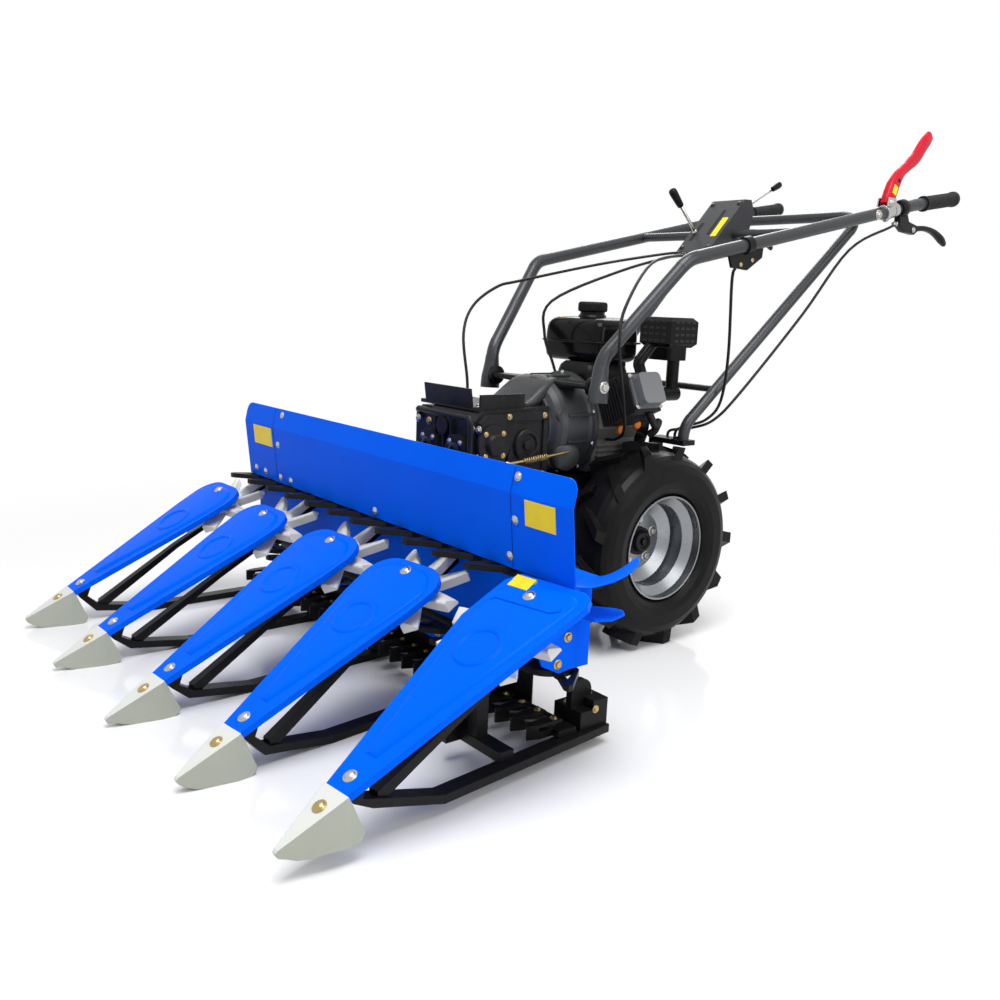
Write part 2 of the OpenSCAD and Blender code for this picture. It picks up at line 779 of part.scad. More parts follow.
module sprockets() {
    r = chain_r - chain_t / 2 - touch;
    post_pitch = 200;
    placed(black) {
        for (y = sprocket_y) {
            translate([chain_x, y, frame_top]) cylinder(h = upper_chain_z - frame_top, r = 15);
            translate([chain_x, y, upper_chain_z]) cylinder(h = chain_h, r = r);
            translate([chain_x, y, lower_chain_z]) cylinder(h = chain_h, r = r);
            translate([chain_x, y, lower_chain_z]) cylinder(h = frame_bottom - lower_chain_z, r = 15);
        }
        for (y = [-2 : 2])
            translate([chain_x, y * post_pitch, frame_top]) cylinder(h = board_z - frame_top, r = 10);
    }
}

// Cutter

// Height of the pads on the skids under the cutter
pad_h = 21;
cutter_bottom = skid_h + pad_h;
cutter_top = cutter_bottom + 12;
knife_z = cutter_top + touch;

module guard() {
    difference() {
        linear_extrude(height = cutter_top + 14 - cutter_bottom)
            polygon([[-20, -11], [30, -10], [52, -2], [52, 2], [30, 10], [-20, 11]]);
        translate([-30, -20, cutter_top - cutter_bottom]) cube([62, 40, knife_t + 4]);
    }
}

guard_y = [for (y = [20 - frame_right : guard_pitch : frame_left - 14]) y];

module cutter_bar() {
    web = 4;
    placed(black) {
        block(frame_front - 40, frame_front + 2, -frame_right, frame_left, cutter_bottom, cutter_top);
        block(frame_front - 40, frame_front - 40 + web, apron_y[0], apron_y[1], cutter_top, frame_bottom);
        for (y = guard_y)
            translate([frame_front, y, cutter_bottom]) guard();
    }
}

module knife() {
    half = guard_pitch / 2 - 1;
    right = knife_stroke + 6 - frame_right;
    left = frame_left - knife_stroke - 6;
    placed(silver) translate([frame_front, 0, knife_z]) linear_extrude(height = knife_t) {
        translate([-18, right]) square([18, left - right]);
        for (y = guard_y)
            if (y - half >= right && y + half <= left)
                translate([0, y]) polygon([[-1, -half], [24, -5], [24, 5], [-1, half]]);
    }
}

module knife_drive() {
    y = [frame_left - 70, frame_left];
    x = [frame_back - 60, frame_front - 50];
    placed(black) {
        block(x[0], x[1], y[0], y[1], cutter_bottom, cutter_bottom + 34);
        block(x[0], x[1] - 30, y[0] + 10, y[1], cutter_bottom, cutter_bottom + 50);
        translate([x[1] - 24, y[0] + 30, cutter_bottom + 60]) rotate([-90, 0, 0]) cylinder(h = 14, r = 24);
        block(x[1] - 48, x[1], y[0] + 30, y[0] + 44, cutter_bottom, cutter_bottom + 60);
    }
}

// Two leaf-shaped sheets that lead the cut crop past the left wheel
module crop_guides() {
    y = frame_left + 4;
    left = board_w / 2;
    z = 272;
    t = 4;
    placed(blue) {
        translate([0, 0, z]) linear_extrude(height = t) polygon([[frame_front, y], [frame_front + 14, y + 46],
            [frame_front + 10, y + 76], [frame_front - 18, y + 88], [528, y + 78], [516, y + 62],
            [524, y + 44], [frame_front - 38, y + 16], [frame_front - 40, y]]);
        translate([0, 0, board_z + sheet_t]) linear_extrude(height = t) polygon([[board_x - 20, left - 30],
            [board_x - 16, left + 4], [board_x - 28, left + 24], [570, left + 38], [536, left + 38],
            [522, left + 28], [530, left + 12], [562, left - 8], [board_x - 70, left - 30]]);
    }
}

// Dividers

function divider_yaw(d) = atan2(d[FRONT_Y] - d[REAR_Y], d[JOINT_X] - d[REAR_X]);
function plane_z(d) = divider_z - (d[REAR_X] - divider_ref_x) * tan(slope);
function run(d) = (d[JOINT_X] - d[REAR_X]) / cos(divider_yaw(d));
function star_s(d) = (star_x - d[REAR_X]) / cos(divider_yaw(d)) / cos(slope) + d[LIFT] * sin(slope);
function star_t(d) = d[LIFT] > 0 ? -outer_star_in : 0;
function star_z(d) = -star_drop - star_h - d[LIFT] * cos(slope);

// Puts the rear end of a divider at the origin with its length along +X
module on_divider(d) {
    translate([d[REAR_X], d[REAR_Y], 0]) rotate([0, 0, divider_yaw(d)]) children();
}

// The same, tilted so that Z = 0 is the face of the divider
module on_face(d) {
    on_divider(d) translate([0, 0, plane_z(d) + d[LIFT]]) rotate([0, slope, 0]) children();
}

function arc(c, r, a0, a1, n) = [for (i = [0 : n]) let (a = a0 + (a1 - a0) * i / n) c + r * [cos(a), sin(a)]];

function divider_outline(l, inset) =
    let (r = 55, half = divider_half - inset, tip = max(1, divider_tip_half - inset))
    concat(
        [[l, tip]],
        [[120, half - 6]],
        arc([inset + r + 8, half - r], r, 90, 180, 6),
        arc([inset + r + 8, -half + r], r, 180, 270, 6),
        [[120, -half + 6]],
        [[l, -tip]]);

// The outer divider is wider on its outer side, with a straight rear edge
function outer_outline(l, inset) =
    let (half = divider_half + 12 - inset, inner = divider_half - inset, tip = max(1, divider_tip_half - inset))
    [[l, tip], [26 + inset, half], [8 + inset, half - 8], [inset, half - 24], [inset, 38 - inner],
        [22 + inset, 18 - inner], [120, 6 - inner], [l, -tip]];

function cover_outline(l, inset, outer) = outer ? outer_outline(l, inset) : divider_outline(l, inset);

module divider(d, outer = false) {
    l = run(d) / cos(slope);
    bead_h = 1.6;
    bead_w = 5;
    bead_inset = 22;
    ring_s = 170;
    on_face(d) {
        difference() {
            translate([0, 0, -divider_skirt]) linear_extrude(height = divider_skirt)
                polygon(cover_outline(l, 0, outer));
            translate([0, 0, -divider_skirt - 1]) linear_extrude(height = divider_skirt + 1 - sheet_t)
                polygon(cover_outline(l - sheet_t, sheet_t, outer));
        }
        difference() {
            translate([0, 0, -1]) linear_extrude(height = 1 + bead_h)
                polygon(cover_outline(l - 78, bead_inset, outer));
            translate([0, 0, -2]) linear_extrude(height = 3 + bead_h)
                polygon(cover_outline(l - 104, bead_inset + bead_w, outer));
        }
        translate([ring_s, 0, -1]) difference() {
            cylinder(h = 1 + bead_h, r = 38);
            translate([0, 0, -1]) cylinder(h = 3 + bead_h, r = 38 - bead_w);
        }
    }
}

module divider_a() { placed(blue) divider(dividers[0]); }
module divider_b() { placed(blue) divider(dividers[1]); }
module divider_c() { placed(blue) divider(dividers[2]); }
module divider_d() { placed(blue) divider(dividers[3]); }
module divider_e() { placed(blue) divider(dividers[4], true); }

// Height of the face of a divider and of the underside of its sheet, u behind its rear end
function face_z(d, u) = plane_z(d) + d[LIFT] - u * tan(slope);
function under_z(d, u) = face_z(d, u) - sheet_t / cos(slope);
function nose_floor(d) = 2 * d[LIFT];

module nose(d) {
    u = run(d);
    top = face_z(d, u);
    low = nose_floor(d);
    half = divider_tip_half + 3;
    tip_half = 4;
    tip = u + nose_l;
    tip_top = max(low + 20, top - (nose_l - 3) * tan(slope));
    fall = (top - tip_top) / (nose_l - 3);
    wall = 3;
    roof = 5;
    hollow = nose_l - 34;
    on_divider(d) difference() {
        intersection() {
            side_profile([[u, top], [tip - 3, tip_top], [tip, tip_top - 4], [tip - 4, tip_top - 12],
                [tip - 14, low + 9], [tip - 28, low + 3], [tip - 44, low], [u - 18, low], [u - 26, low + 5],
                [u - 29, low + 14],
                [u - divider_skirt * sin(slope), top - divider_skirt * cos(slope)]], -half, half);
            translate([u, 0, -1]) linear_extrude(height = 200)
                polygon([[-40, -half], [4, -half], [nose_l, -tip_half], [nose_l, tip_half], [4, half],
                    [-40, half]]);
        }
        intersection() {
            side_profile([[u - 60, low - 1], [u + hollow, low - 1], [u + hollow, top - hollow * fall - roof],
                [u - 60, top + 60 * fall - roof]], -half, half);
            translate([u, 0, -1]) linear_extrude(height = 200)
                polygon([[-60, wall - half], [4, wall - half], [hollow, -9], [hollow, 9],
                    [4, half - wall], [-60, half - wall]]);
        }
    }
}

module divider_noses() {
    placed([0.85, 0.87, 0.84])
        for (d = dividers) nose(d);
}

strut_drop = star_drop + star_h + 6;
strut_t = 8;

// Side view of a skid: flat, then rising to the front. The outer one runs above the floor
function skid_base(d) = d[LIFT] > 0 ? pad_h : 0;
function skid_rise(d) = 22 + 1.5 * d[LIFT];
function skid_flat(d) = run(d) - 190;
function skid_bend(d) = run(d) - 52;
function skid_low(d, u) = skid_base(d) + skid_rise(d) * (u - skid_flat(d)) / (skid_bend(d) - skid_flat(d));
function skid_top(d, u) = skid_low(d, u) + skid_h;

module strut(d) {
    back = (d[REAR_X] - frame_front) / cos(divider_yaw(d)) + 10;
    knee = 150;
    drop = strut_drop / cos(slope);
    thick = strut_t / cos(slope);
    knee_z = plane_z(d) - knee * tan(slope) - drop;
    rear_z = plane_z(d) + back * tan(slope) - drop;
    foot = [skid_bend(d) - 30, skid_bend(d) - 12];
    on_divider(d) side_profile([[-back, rear_z], [knee, knee_z], [foot[1], skid_top(d, foot[1]) + strut_t],
        [foot[1], skid_top(d, foot[1])], [foot[0], skid_top(d, foot[0])], [knee - 6, knee_z - thick],
            [-back, rear_z - thick]],
        -strut_w / 2, strut_w / 2);
}

// The bar across under the outer divider, with its post up to the strut
module outer_bracket() {
    e = dividers[4];
    post_y = e[REAR_Y] - 72;
    z = skid_base(e) + skid_h;
    block(700, 730, post_y - 46, e[REAR_Y] + 6, z, z + 18);
    block(704, 728, post_y - 12, post_y + 12, z, 190);
    block(704, 728, post_y - 12, e[REAR_Y] + 6, 190, 202);
    block(700, 760, post_y - 46, post_y - 30, z, z + 36);
    on_face(e) translate([star_s(e) - 20, star_t(e) - 16, -strut_drop - e[LIFT] * cos(slope) - strut_t])
        cube([40, 16 - star_t(e), strut_t]);
}

module divider_struts() {
    far = 2 * board_w;
    placed(black) {
        difference() {
            for (d = dividers) strut(d);
            block(frame_back, frame_front, -far, far, 0, 400);
        }
        outer_bracket();
    }
}

module skid(d) {
    u = run(d);
    back = (d[REAR_X] - frame_back + 60) / cos(divider_yaw(d));
    pad = (d[REAR_X] - frame_front - 12) / cos(divider_yaw(d));
    base = skid_base(d);
    flat = skid_flat(d);
    bend = skid_bend(d);
    end = u - 12;
    side = u - 46;
    top = under_z(d, end);
    on_divider(d) {
        side_profile([[-back, base], [flat, base], [bend, skid_low(d, bend)], [end - 6, top - 26],
            [end, top - 14], [end, top], [side, under_z(d, side)], [side, under_z(d, side) - 10],
            [side + 12, top - 24], [bend - 10, skid_top(d, bend - 10)], [flat, base + skid_h],
            [-back, base + skid_h]], -bar_w / 2, bar_w / 2);
        if (base == 0)
            block(-back, -pad, -bar_w / 2, bar_w / 2, skid_h, cutter_bottom);
    }
}

module skids() {
    placed(black)
        for (d = dividers) skid(d);
}

// Star wheels

function star_outline(tip, half, root) = [for (i = [0 : star_teeth - 1], k = [0 : 2])
    let (a = i * 360 / star_teeth)
    k == 0 ? [cos(a) * tip + sin(a) * half, sin(a) * tip - cos(a) * half]
    : k == 1 ? [cos(a) * tip - sin(a) * half, sin(a) * tip + cos(a) * half]
    : root * [cos(a + 180 / star_teeth), sin(a + 180 / star_teeth)]];

module star(d) {
    wall = 3;
    shaft_r = star_shaft_d / 2;
    on_face(d) translate([star_s(d), star_t(d), star_z(d)]) difference() {
        union() {
            difference() {
                linear_extrude(height = star_h) polygon(star_outline(star_r, tooth_half, star_root));
                translate([0, 0, -1]) linear_extrude(height = star_h + 1 - wall)
                    polygon(star_outline(star_r - wall, tooth_half - wall, star_root - 5));
            }
            cylinder(h = star_h, r = shaft_r + 8);
        }
        translate([0, 0, -1]) cylinder(h = star_h + 2, r = shaft_r + running_gap);
    }
}

module star_a() { placed("white") star(dividers[0]); }
module star_b() { placed("white") star(dividers[1]); }
module star_c() { placed("white") star(dividers[2]); }
module star_d() { placed("white") star(dividers[3]); }
module star_e() { placed("white") star(dividers[4]); }

module star_shafts() {
    placed(silver)
        for (d = dividers)
            on_face(d) translate([star_s(d), star_t(d), -strut_drop - d[LIFT] * cos(slope)])
                cylinder(h = strut_drop + d[LIFT] * cos(slope) - sheet_t, r = star_shaft_d / 2);
}

tyre_left();
tyre_right();
rim_left();
rim_right();
hub_left();
hub_right();
gearbox_case();
gearbox_front();
clutch_housing();
engine_mount();
engine_block();
cylinder_head();
fan_housing();
recoil_starter();
fuel_tank();
fuel_cap();
muffler();
air_cleaner();
handle_bracket();
handlebar_left();
handlebar_right();
loop_left();
loop_right();
loop_bar();
console_bar();
console();
gear_levers();
grip_left();
grip_right();
clutch_lever();
brake_levers();
lever_quadrant();
control_cables();
header_mount();
header_frame();
end_plates();
header_board();
chain_rails();
conveyor_upper();
conveyor_lower();
sprockets();
cutter_bar();
knife();
knife_drive();
crop_guides();
divider_a();
divider_b();
divider_c();
divider_d();
divider_e();
divider_noses();
divider_struts();
skids();
star_shafts();
star_a();
star_b();
star_c();
star_d();
star_e();
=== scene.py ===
"""Looks of a walk-behind power reaper: materials, small fittings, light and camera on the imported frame.

Lengths are millimetres, and places run from the floor under the middle of the wheel axle, unless a comment
says metres.
"""
import json
import math

import bpy
from mathutils import Matrix, Vector


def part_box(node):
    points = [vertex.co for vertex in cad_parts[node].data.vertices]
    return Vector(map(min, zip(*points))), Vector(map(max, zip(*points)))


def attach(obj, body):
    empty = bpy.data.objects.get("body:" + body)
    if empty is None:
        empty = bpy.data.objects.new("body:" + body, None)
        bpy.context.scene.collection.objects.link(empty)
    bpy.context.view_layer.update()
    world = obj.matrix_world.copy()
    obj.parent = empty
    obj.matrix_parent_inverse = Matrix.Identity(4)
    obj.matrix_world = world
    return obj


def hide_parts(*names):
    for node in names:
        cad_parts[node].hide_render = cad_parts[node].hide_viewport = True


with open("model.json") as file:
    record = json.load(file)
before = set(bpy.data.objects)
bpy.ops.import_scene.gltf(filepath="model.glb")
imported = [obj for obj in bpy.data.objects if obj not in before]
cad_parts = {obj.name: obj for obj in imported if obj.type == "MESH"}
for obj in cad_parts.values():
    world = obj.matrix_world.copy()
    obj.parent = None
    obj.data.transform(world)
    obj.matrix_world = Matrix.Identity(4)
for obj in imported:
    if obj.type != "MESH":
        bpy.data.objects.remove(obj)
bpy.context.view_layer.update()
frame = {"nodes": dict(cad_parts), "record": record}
nodes = frame["nodes"]
joints = {joint["child"]: joint for joint in frame["record"]["behaviour"]["joints"]}


# Places

def middle(node):
    """The middle of a node's box, in metres."""
    low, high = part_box(node)
    return (Vector(low) + Vector(high)) / 2


AXLE = (middle("tyre_left") + middle("tyre_right")) / 2
WHEEL_R = AXLE.z * 1000
CASE_TOP = WHEEL_R + 153
CRANK_Z = WHEEL_R + 270
TANK_Z = CRANK_Z + 140

FRONT, LEFT, UP = Vector((1, 0, 0)), Vector((0, 1, 0)), Vector((0, 0, 1))
SIDES = ((1, "left"), (-1, "right"))


def at(x, y, z):
    """A point in metres from its millimetres."""
    return Vector((AXLE.x + x / 1000, AXLE.y + y / 1000, z / 1000))


def placed(name, data):
    """A new object in the scene."""
    made = bpy.data.objects.new(name, data)
    bpy.context.collection.objects.link(made)
    return made


def turn(k, count, start=0.0):
    """The angle of place k of count places round a circle."""
    return 2 * math.pi * k / count + start


def rectangle(a0, a1, b0, b1):
    """The corners of a rectangle, in order."""
    return (a0, b0), (a1, b0), (a1, b1), (a0, b1)


def spread(values, t):
    """The value at share t of a row of evenly spread values."""
    place = t * (len(values) - 1)
    i = min(int(place), len(values) - 2)
    return values[i] + (values[i + 1] - values[i]) * (place - i)


def smooth(points, steps=8):
    """Points along a smooth curve through the given ones."""
    path = []
    for i in range(len(points) - 1):
        a, b, c, d = (points[max(0, min(len(points) - 1, i + k))] for k in (-1, 0, 1, 2))
        for step in range(steps):
            t = step / steps
            path.append((b * 2 + (c - a) * t + (a * 2 - b * 5 + c * 4 - d) * t * t
                         + (b * 3 - a - c * 3 + d) * t * t * t) / 2)
    return path + [points[-1]]


# Materials

EDGE_SAMPLES = 4
# How far up a face must look to take the painted light of a lit top colour
FACES_UP = 0.4
TONE_ENDS = (0.3, 0.7)
# Scale, detail and roughness of the noise of dust, and the range of it that brings dust up
DUST_NOISE, DUST_RANGE = (38.0, 9.0, 0.7), (0.5, 0.85)


def node(tree, kind, **values):
    """A shader node with its sockets or properties set."""
    made = tree.nodes.new(kind)
    for key, value in values.items():
        if key in made.inputs:
            made.inputs[key].default_value = value
        else:
            setattr(made, key, value)
    return made


def shade(colour, factor):
    return tuple(min(1.0, c * factor) for c in colour) + (1.0,)


def noise(tree, scale, detail, roughness=0.5):
    """Noise over the object's own coordinates."""
    made = node(tree, "ShaderNodeTexNoise", Scale=scale, Detail=detail, Roughness=roughness)
    tree.links.new(tree.nodes["Texture Coordinate"].outputs["Object"], made.inputs["Vector"])
    return made.outputs["Fac"]


def ranged(tree, value, start, end, low, high, curve="LINEAR"):
    """Runs from low to high as a value runs from start to end."""
    made = node(tree, "ShaderNodeMapRange", interpolation_type=curve)
    for name, number in (("From Min", start), ("From Max", end), ("To Min", low), ("To Max", high)):
        made.inputs[name].default_value = number
    tree.links.new(value, made.inputs["Value"])
    return made.outputs["Result"]


def sums(tree, operation, first, second):
    """An operation on a socket and a second socket or number."""
    made = node(tree, "ShaderNodeMath", operation=operation)
    tree.links.new(first, made.inputs[0])
    if isinstance(second, float):
        made.inputs[1].default_value = second
    else:
        tree.links.new(second, made.inputs[1])
    return made.outputs["Value"]


def mixed(tree, paint, colour, share):
    """A paint that gives way to a colour by a share."""
    mix = node(tree, "ShaderNodeMix", data_type="RGBA")
    mix.inputs["B"].default_value = shade(colour, 1)
    tree.links.new(share, mix.inputs["Factor"])
    tree.links.new(paint, mix.inputs["A"])
    return mix.outputs["Result"]


def toned(tree, colour, tone, tone_scale):
    """A colour that varies in patches by the share tone."""
    ramp = node(tree, "ShaderNodeValToRGB")
    for element, position, factor in zip(ramp.color_ramp.elements, TONE_ENDS, (1 - tone, 1 + tone)):
        element.position = position
        element.color = shade(colour, factor)
    tree.links.new(noise(tree, tone_scale, 7.0, 0.62), ramp.inputs["Fac"])
    return ramp.outputs["Color"]


def along_direction(tree, direction):
    """How far a point lies along a direction, in metres."""
    made = node(tree, "ShaderNodeVectorMath", operation="DOT_PRODUCT")
    tree.links.new(tree.nodes["Texture Coordinate"].outputs["Object"], made.inputs[0])
    made.inputs[1].default_value = direction
    return made.outputs["Value"]


def upward(tree):
    """How much a face looks up: the mask for the painted light on upward faces."""
    parts = tree.nodes.new("ShaderNodeSeparateXYZ")
    tree.links.new(tree.nodes.new("ShaderNodeNewGeometry").outputs["True Normal"], parts.inputs[0])
    return parts.outputs["Z"]


def relief(tree, bump, bump_scale, bump_depth, soft):
    """Fine grain over edges that look rounded by soft."""
    made = node(tree, "ShaderNodeBump", Strength=bump, Distance=bump_depth)
    tree.links.new(noise(tree, bump_scale, 3.0), made.inputs["Height"])
    if soft:
        edges = node(tree, "ShaderNodeBevel", samples=EDGE_SAMPLES, Radius=soft)
        tree.links.new(edges.outputs["Normal"], made.inputs["Normal"])
    return made.outputs["Normal"]


def material(name, colour, rough, metal=0.0, tone=0.1, tone_scale=6.0, rough_spread=0.08, bump=0.05,
             bump_scale=900.0, bump_depth=0.0004, dust=None, dust_amount=0.0, zone=None, top=None,
             specular=0.5, soft=0.0015):
    """Paint, metal, plastic or rubber with tone, gloss and relief that vary over the surface.

    zone is (direction, distance along it, colour beyond it), top the colour painted on what faces up as
    painted light, and soft the radius that edges look rounded by. bump_depth, zone and soft are in metres."""
    made = bpy.data.materials.new(name)
    made.use_nodes = True
    tree = made.node_tree
    tree.nodes.new("ShaderNodeTexCoord")
    shader = tree.nodes["Principled BSDF"]
    shader.inputs["Metallic"].default_value = metal
    shader.inputs["Specular IOR Level"].default_value = specular

    paint = toned(tree, colour, tone, tone_scale)
    if zone:
        direction, distance, beyond = zone
        share = sums(tree, "GREATER_THAN", along_direction(tree, direction), distance)
        paint = mixed(tree, paint, beyond, share)
    # Painted light: faces that look up take the lit top colour, and the rest keep the shaded base colour.
    if top:
        paint = mixed(tree, paint, top, sums(tree, "GREATER_THAN", upward(tree), FACES_UP))
    if dust_amount:
        share = ranged(tree, noise(tree, *DUST_NOISE), *DUST_RANGE, 0.0, dust_amount)
        paint = mixed(tree, paint, dust, share)
    tree.links.new(paint, shader.inputs["Base Color"])

    gloss = ranged(tree, noise(tree, tone_scale * 3, 5.0, 0.6), 0.0, 1.0, max(0.02, rough - rough_spread),
                   min(1.0, rough + rough_spread))
    tree.links.new(gloss, shader.inputs["Roughness"])
    tree.links.new(relief(tree, bump, bump_scale, bump_depth, soft), shader.inputs["Normal"])
    return made


EARTH = (0.24, 0.2, 0.16)
GREY_DUST = (0.3, 0.3, 0.31)
VALVE_COVER_GREY = (0.15, 0.155, 0.165)
HEAD_TILT = math.radians(25)
HEAD_AXIS = Vector((0, math.cos(HEAD_TILT), math.sin(HEAD_TILT)))
HEAD_UP = Vector((0, -HEAD_AXIS.z, HEAD_AXIS.y))
VALVE_COVER_M = HEAD_AXIS.dot(at(0, 0, CRANK_Z)) + 0.2045

MATERIALS = {
    "tyre": material("tyre_rubber", (0.006, 0.006, 0.0065), 0.3, tone=0.3, bump=0.12, bump_scale=420,
                     dust=EARTH, dust_amount=0.02, specular=0.09, soft=0.003),
    "rim_paint": material("rim_silver", (0.25, 0.26, 0.275), 0.26, metal=0.9, tone=0.06, bump=0.03,
                          bump_scale=1500),
    "cast_black": material("black_casting", (0.012, 0.012, 0.013), 0.34, tone=0.3, bump=0.4, bump_scale=520,
                           dust=GREY_DUST, dust_amount=0.05, specular=0.13),
    "housing_grey": material("grey_casting", (0.04, 0.041, 0.043), 0.36, metal=0.3, tone=0.2, bump=0.2,
                             bump_scale=600, specular=0.22, soft=0.004),
    "engine_black": material("engine_enamel", (0.005, 0.005, 0.0055), 0.14, tone=0.2, bump_scale=700,
                             specular=0.1),
    "black_plastic": material("black_plastic", (0.006, 0.006, 0.0065), 0.34, tone=0.2, bump=0.2,
                              bump_scale=1400, specular=0.12),
    "tube_grey": material("graphite_tube", (0.05, 0.052, 0.056), 0.32, metal=0.5, tone=0.12, bump=0.03,
                          specular=0.25),
    "console_grey": material("console_grey", (0.048, 0.05, 0.053), 0.36, metal=0.4, tone=0.12, bump=0.15,
                             bump_scale=1500, specular=0.25),
    "grip_rubber": material("grip_rubber", (0.01, 0.01, 0.0105), 0.5, tone=0.25, bump=0.3, bump_scale=1100,
                            specular=0.2),
    "red_paint": material("red_grip", (0.5, 0.005, 0.022), 0.28, tone=0.08, bump=0.08, bump_scale=700,
                          specular=0.2),
    "blue_paint": material("blue_enamel", (0.0, 0.115, 0.88), 0.24, tone=0.05, tone_scale=4, bump=0.1,
                           bump_scale=420, bump_depth=0.0002, dust=(0.0, 0.15, 0.95), dust_amount=0.1,
                           specular=0.02),
    # Painted light and shade on the noses: the grey-green base is the shaded copy of the white paint, and the
    # top colour is its lit copy on faces that look up.
    "nose_paint": material("nose_white", (0.4, 0.42, 0.36), 0.32, tone=0.05, bump=0.12, bump_scale=300,
                           specular=0.25, top=(0.66, 0.68, 0.65)),
    "white_plastic": material("star_plastic", (0.74, 0.73, 0.69), 0.36, tone=0.05, tone_scale=14, bump=0.12,
                              bump_scale=500, dust=(0.5, 0.47, 0.4), dust_amount=0.1),
    "bare_steel": material("bare_steel", (0.36, 0.36, 0.37), 0.3, metal=1.0, bump=0.1, bump_scale=1200),
    "black_steel": material("black_steel", (0.008, 0.008, 0.0085), 0.34, tone=0.25, bump=0.2, bump_scale=700,
                            dust=GREY_DUST, dust_amount=0.03, specular=0.12),
    "cable_black": material("cable_sheath", (0.007, 0.007, 0.0075), 0.4, tone=0.25, bump=0.15,
                            bump_scale=1800, specular=0.2),
}
HEAD = material("cylinder_casting", (0.012, 0.012, 0.013), 0.38, tone=0.25, bump=0.4, bump_scale=600,
                specular=0.22, zone=(HEAD_AXIS, VALVE_COVER_M, VALVE_COVER_GREY))
CRANKCASE = material("crankcase_casting", (0.12, 0.117, 0.11), 0.42, metal=0.3, tone=0.2, bump=0.35,
                     bump_scale=600, specular=0.22, soft=0.003)
CHROME = material("bright_rod", (0.55, 0.53, 0.5), 0.16, metal=1.0, tone=0.08, tone_scale=60, bump=0.04,
                  bump_scale=1500)
ZINC = material("zinc", (0.47, 0.46, 0.44), 0.28, metal=1.0, tone=0.12, tone_scale=60, bump=0.08,
                bump_scale=2500)
BRASS = material("yellow_zinc", (0.46, 0.34, 0.16), 0.3, metal=1.0, tone=0.15, tone_scale=70, bump=0.08,
                 bump_scale=2500)
DARK_BOLT = material("black_oxide", (0.02, 0.02, 0.021), 0.34, metal=0.9, tone=0.2, tone_scale=70, bump=0.1,
                     bump_scale=2000)
ORANGE = material("orange_cap", (0.85, 0.22, 0.015), 0.34, tone=0.08, tone_scale=40, bump=0.12,
                  bump_scale=1500)
STICKER = material("yellow_label", (0.9, 0.66, 0.01), 0.34, tone=0.05, tone_scale=30, specular=0.3)
# Dark blue for the board's seams: painted shade in the seams.
SEAM_SHADE = material("seam_shadow", (0.0, 0.03, 0.32), 0.5, tone=0.2, bump=0.1, specular=0.1)
# Near-black for the slots of the muffler's guard and the console: painted shade where the openings are.
SLOT_SHADE = material("slot_shade", (0.003, 0.003, 0.003), 0.8, tone=0.3, bump=0.2)

for part in frame["record"]["subparts"]:
    looks = nodes[part["node"]].data.materials
    looks.clear()
    looks.append(MATERIALS[part["material_slot"]])
nodes["cylinder_head"].data.materials[0] = HEAD
nodes["engine_block"].data.materials[0] = CRANKCASE


# Small fittings

SWEEP_SIDES = 24
CORNER_STEPS = 6
SLAB_SUNK_M = 0.0003
SHARP_ANGLE = math.radians(38)


def side_axes(axis):
    """An axis as a unit vector, and two directions square to it."""
    axis = Vector(axis).normalized()
    u = axis.orthogonal().normalized()
    return axis, u, axis.cross(u)


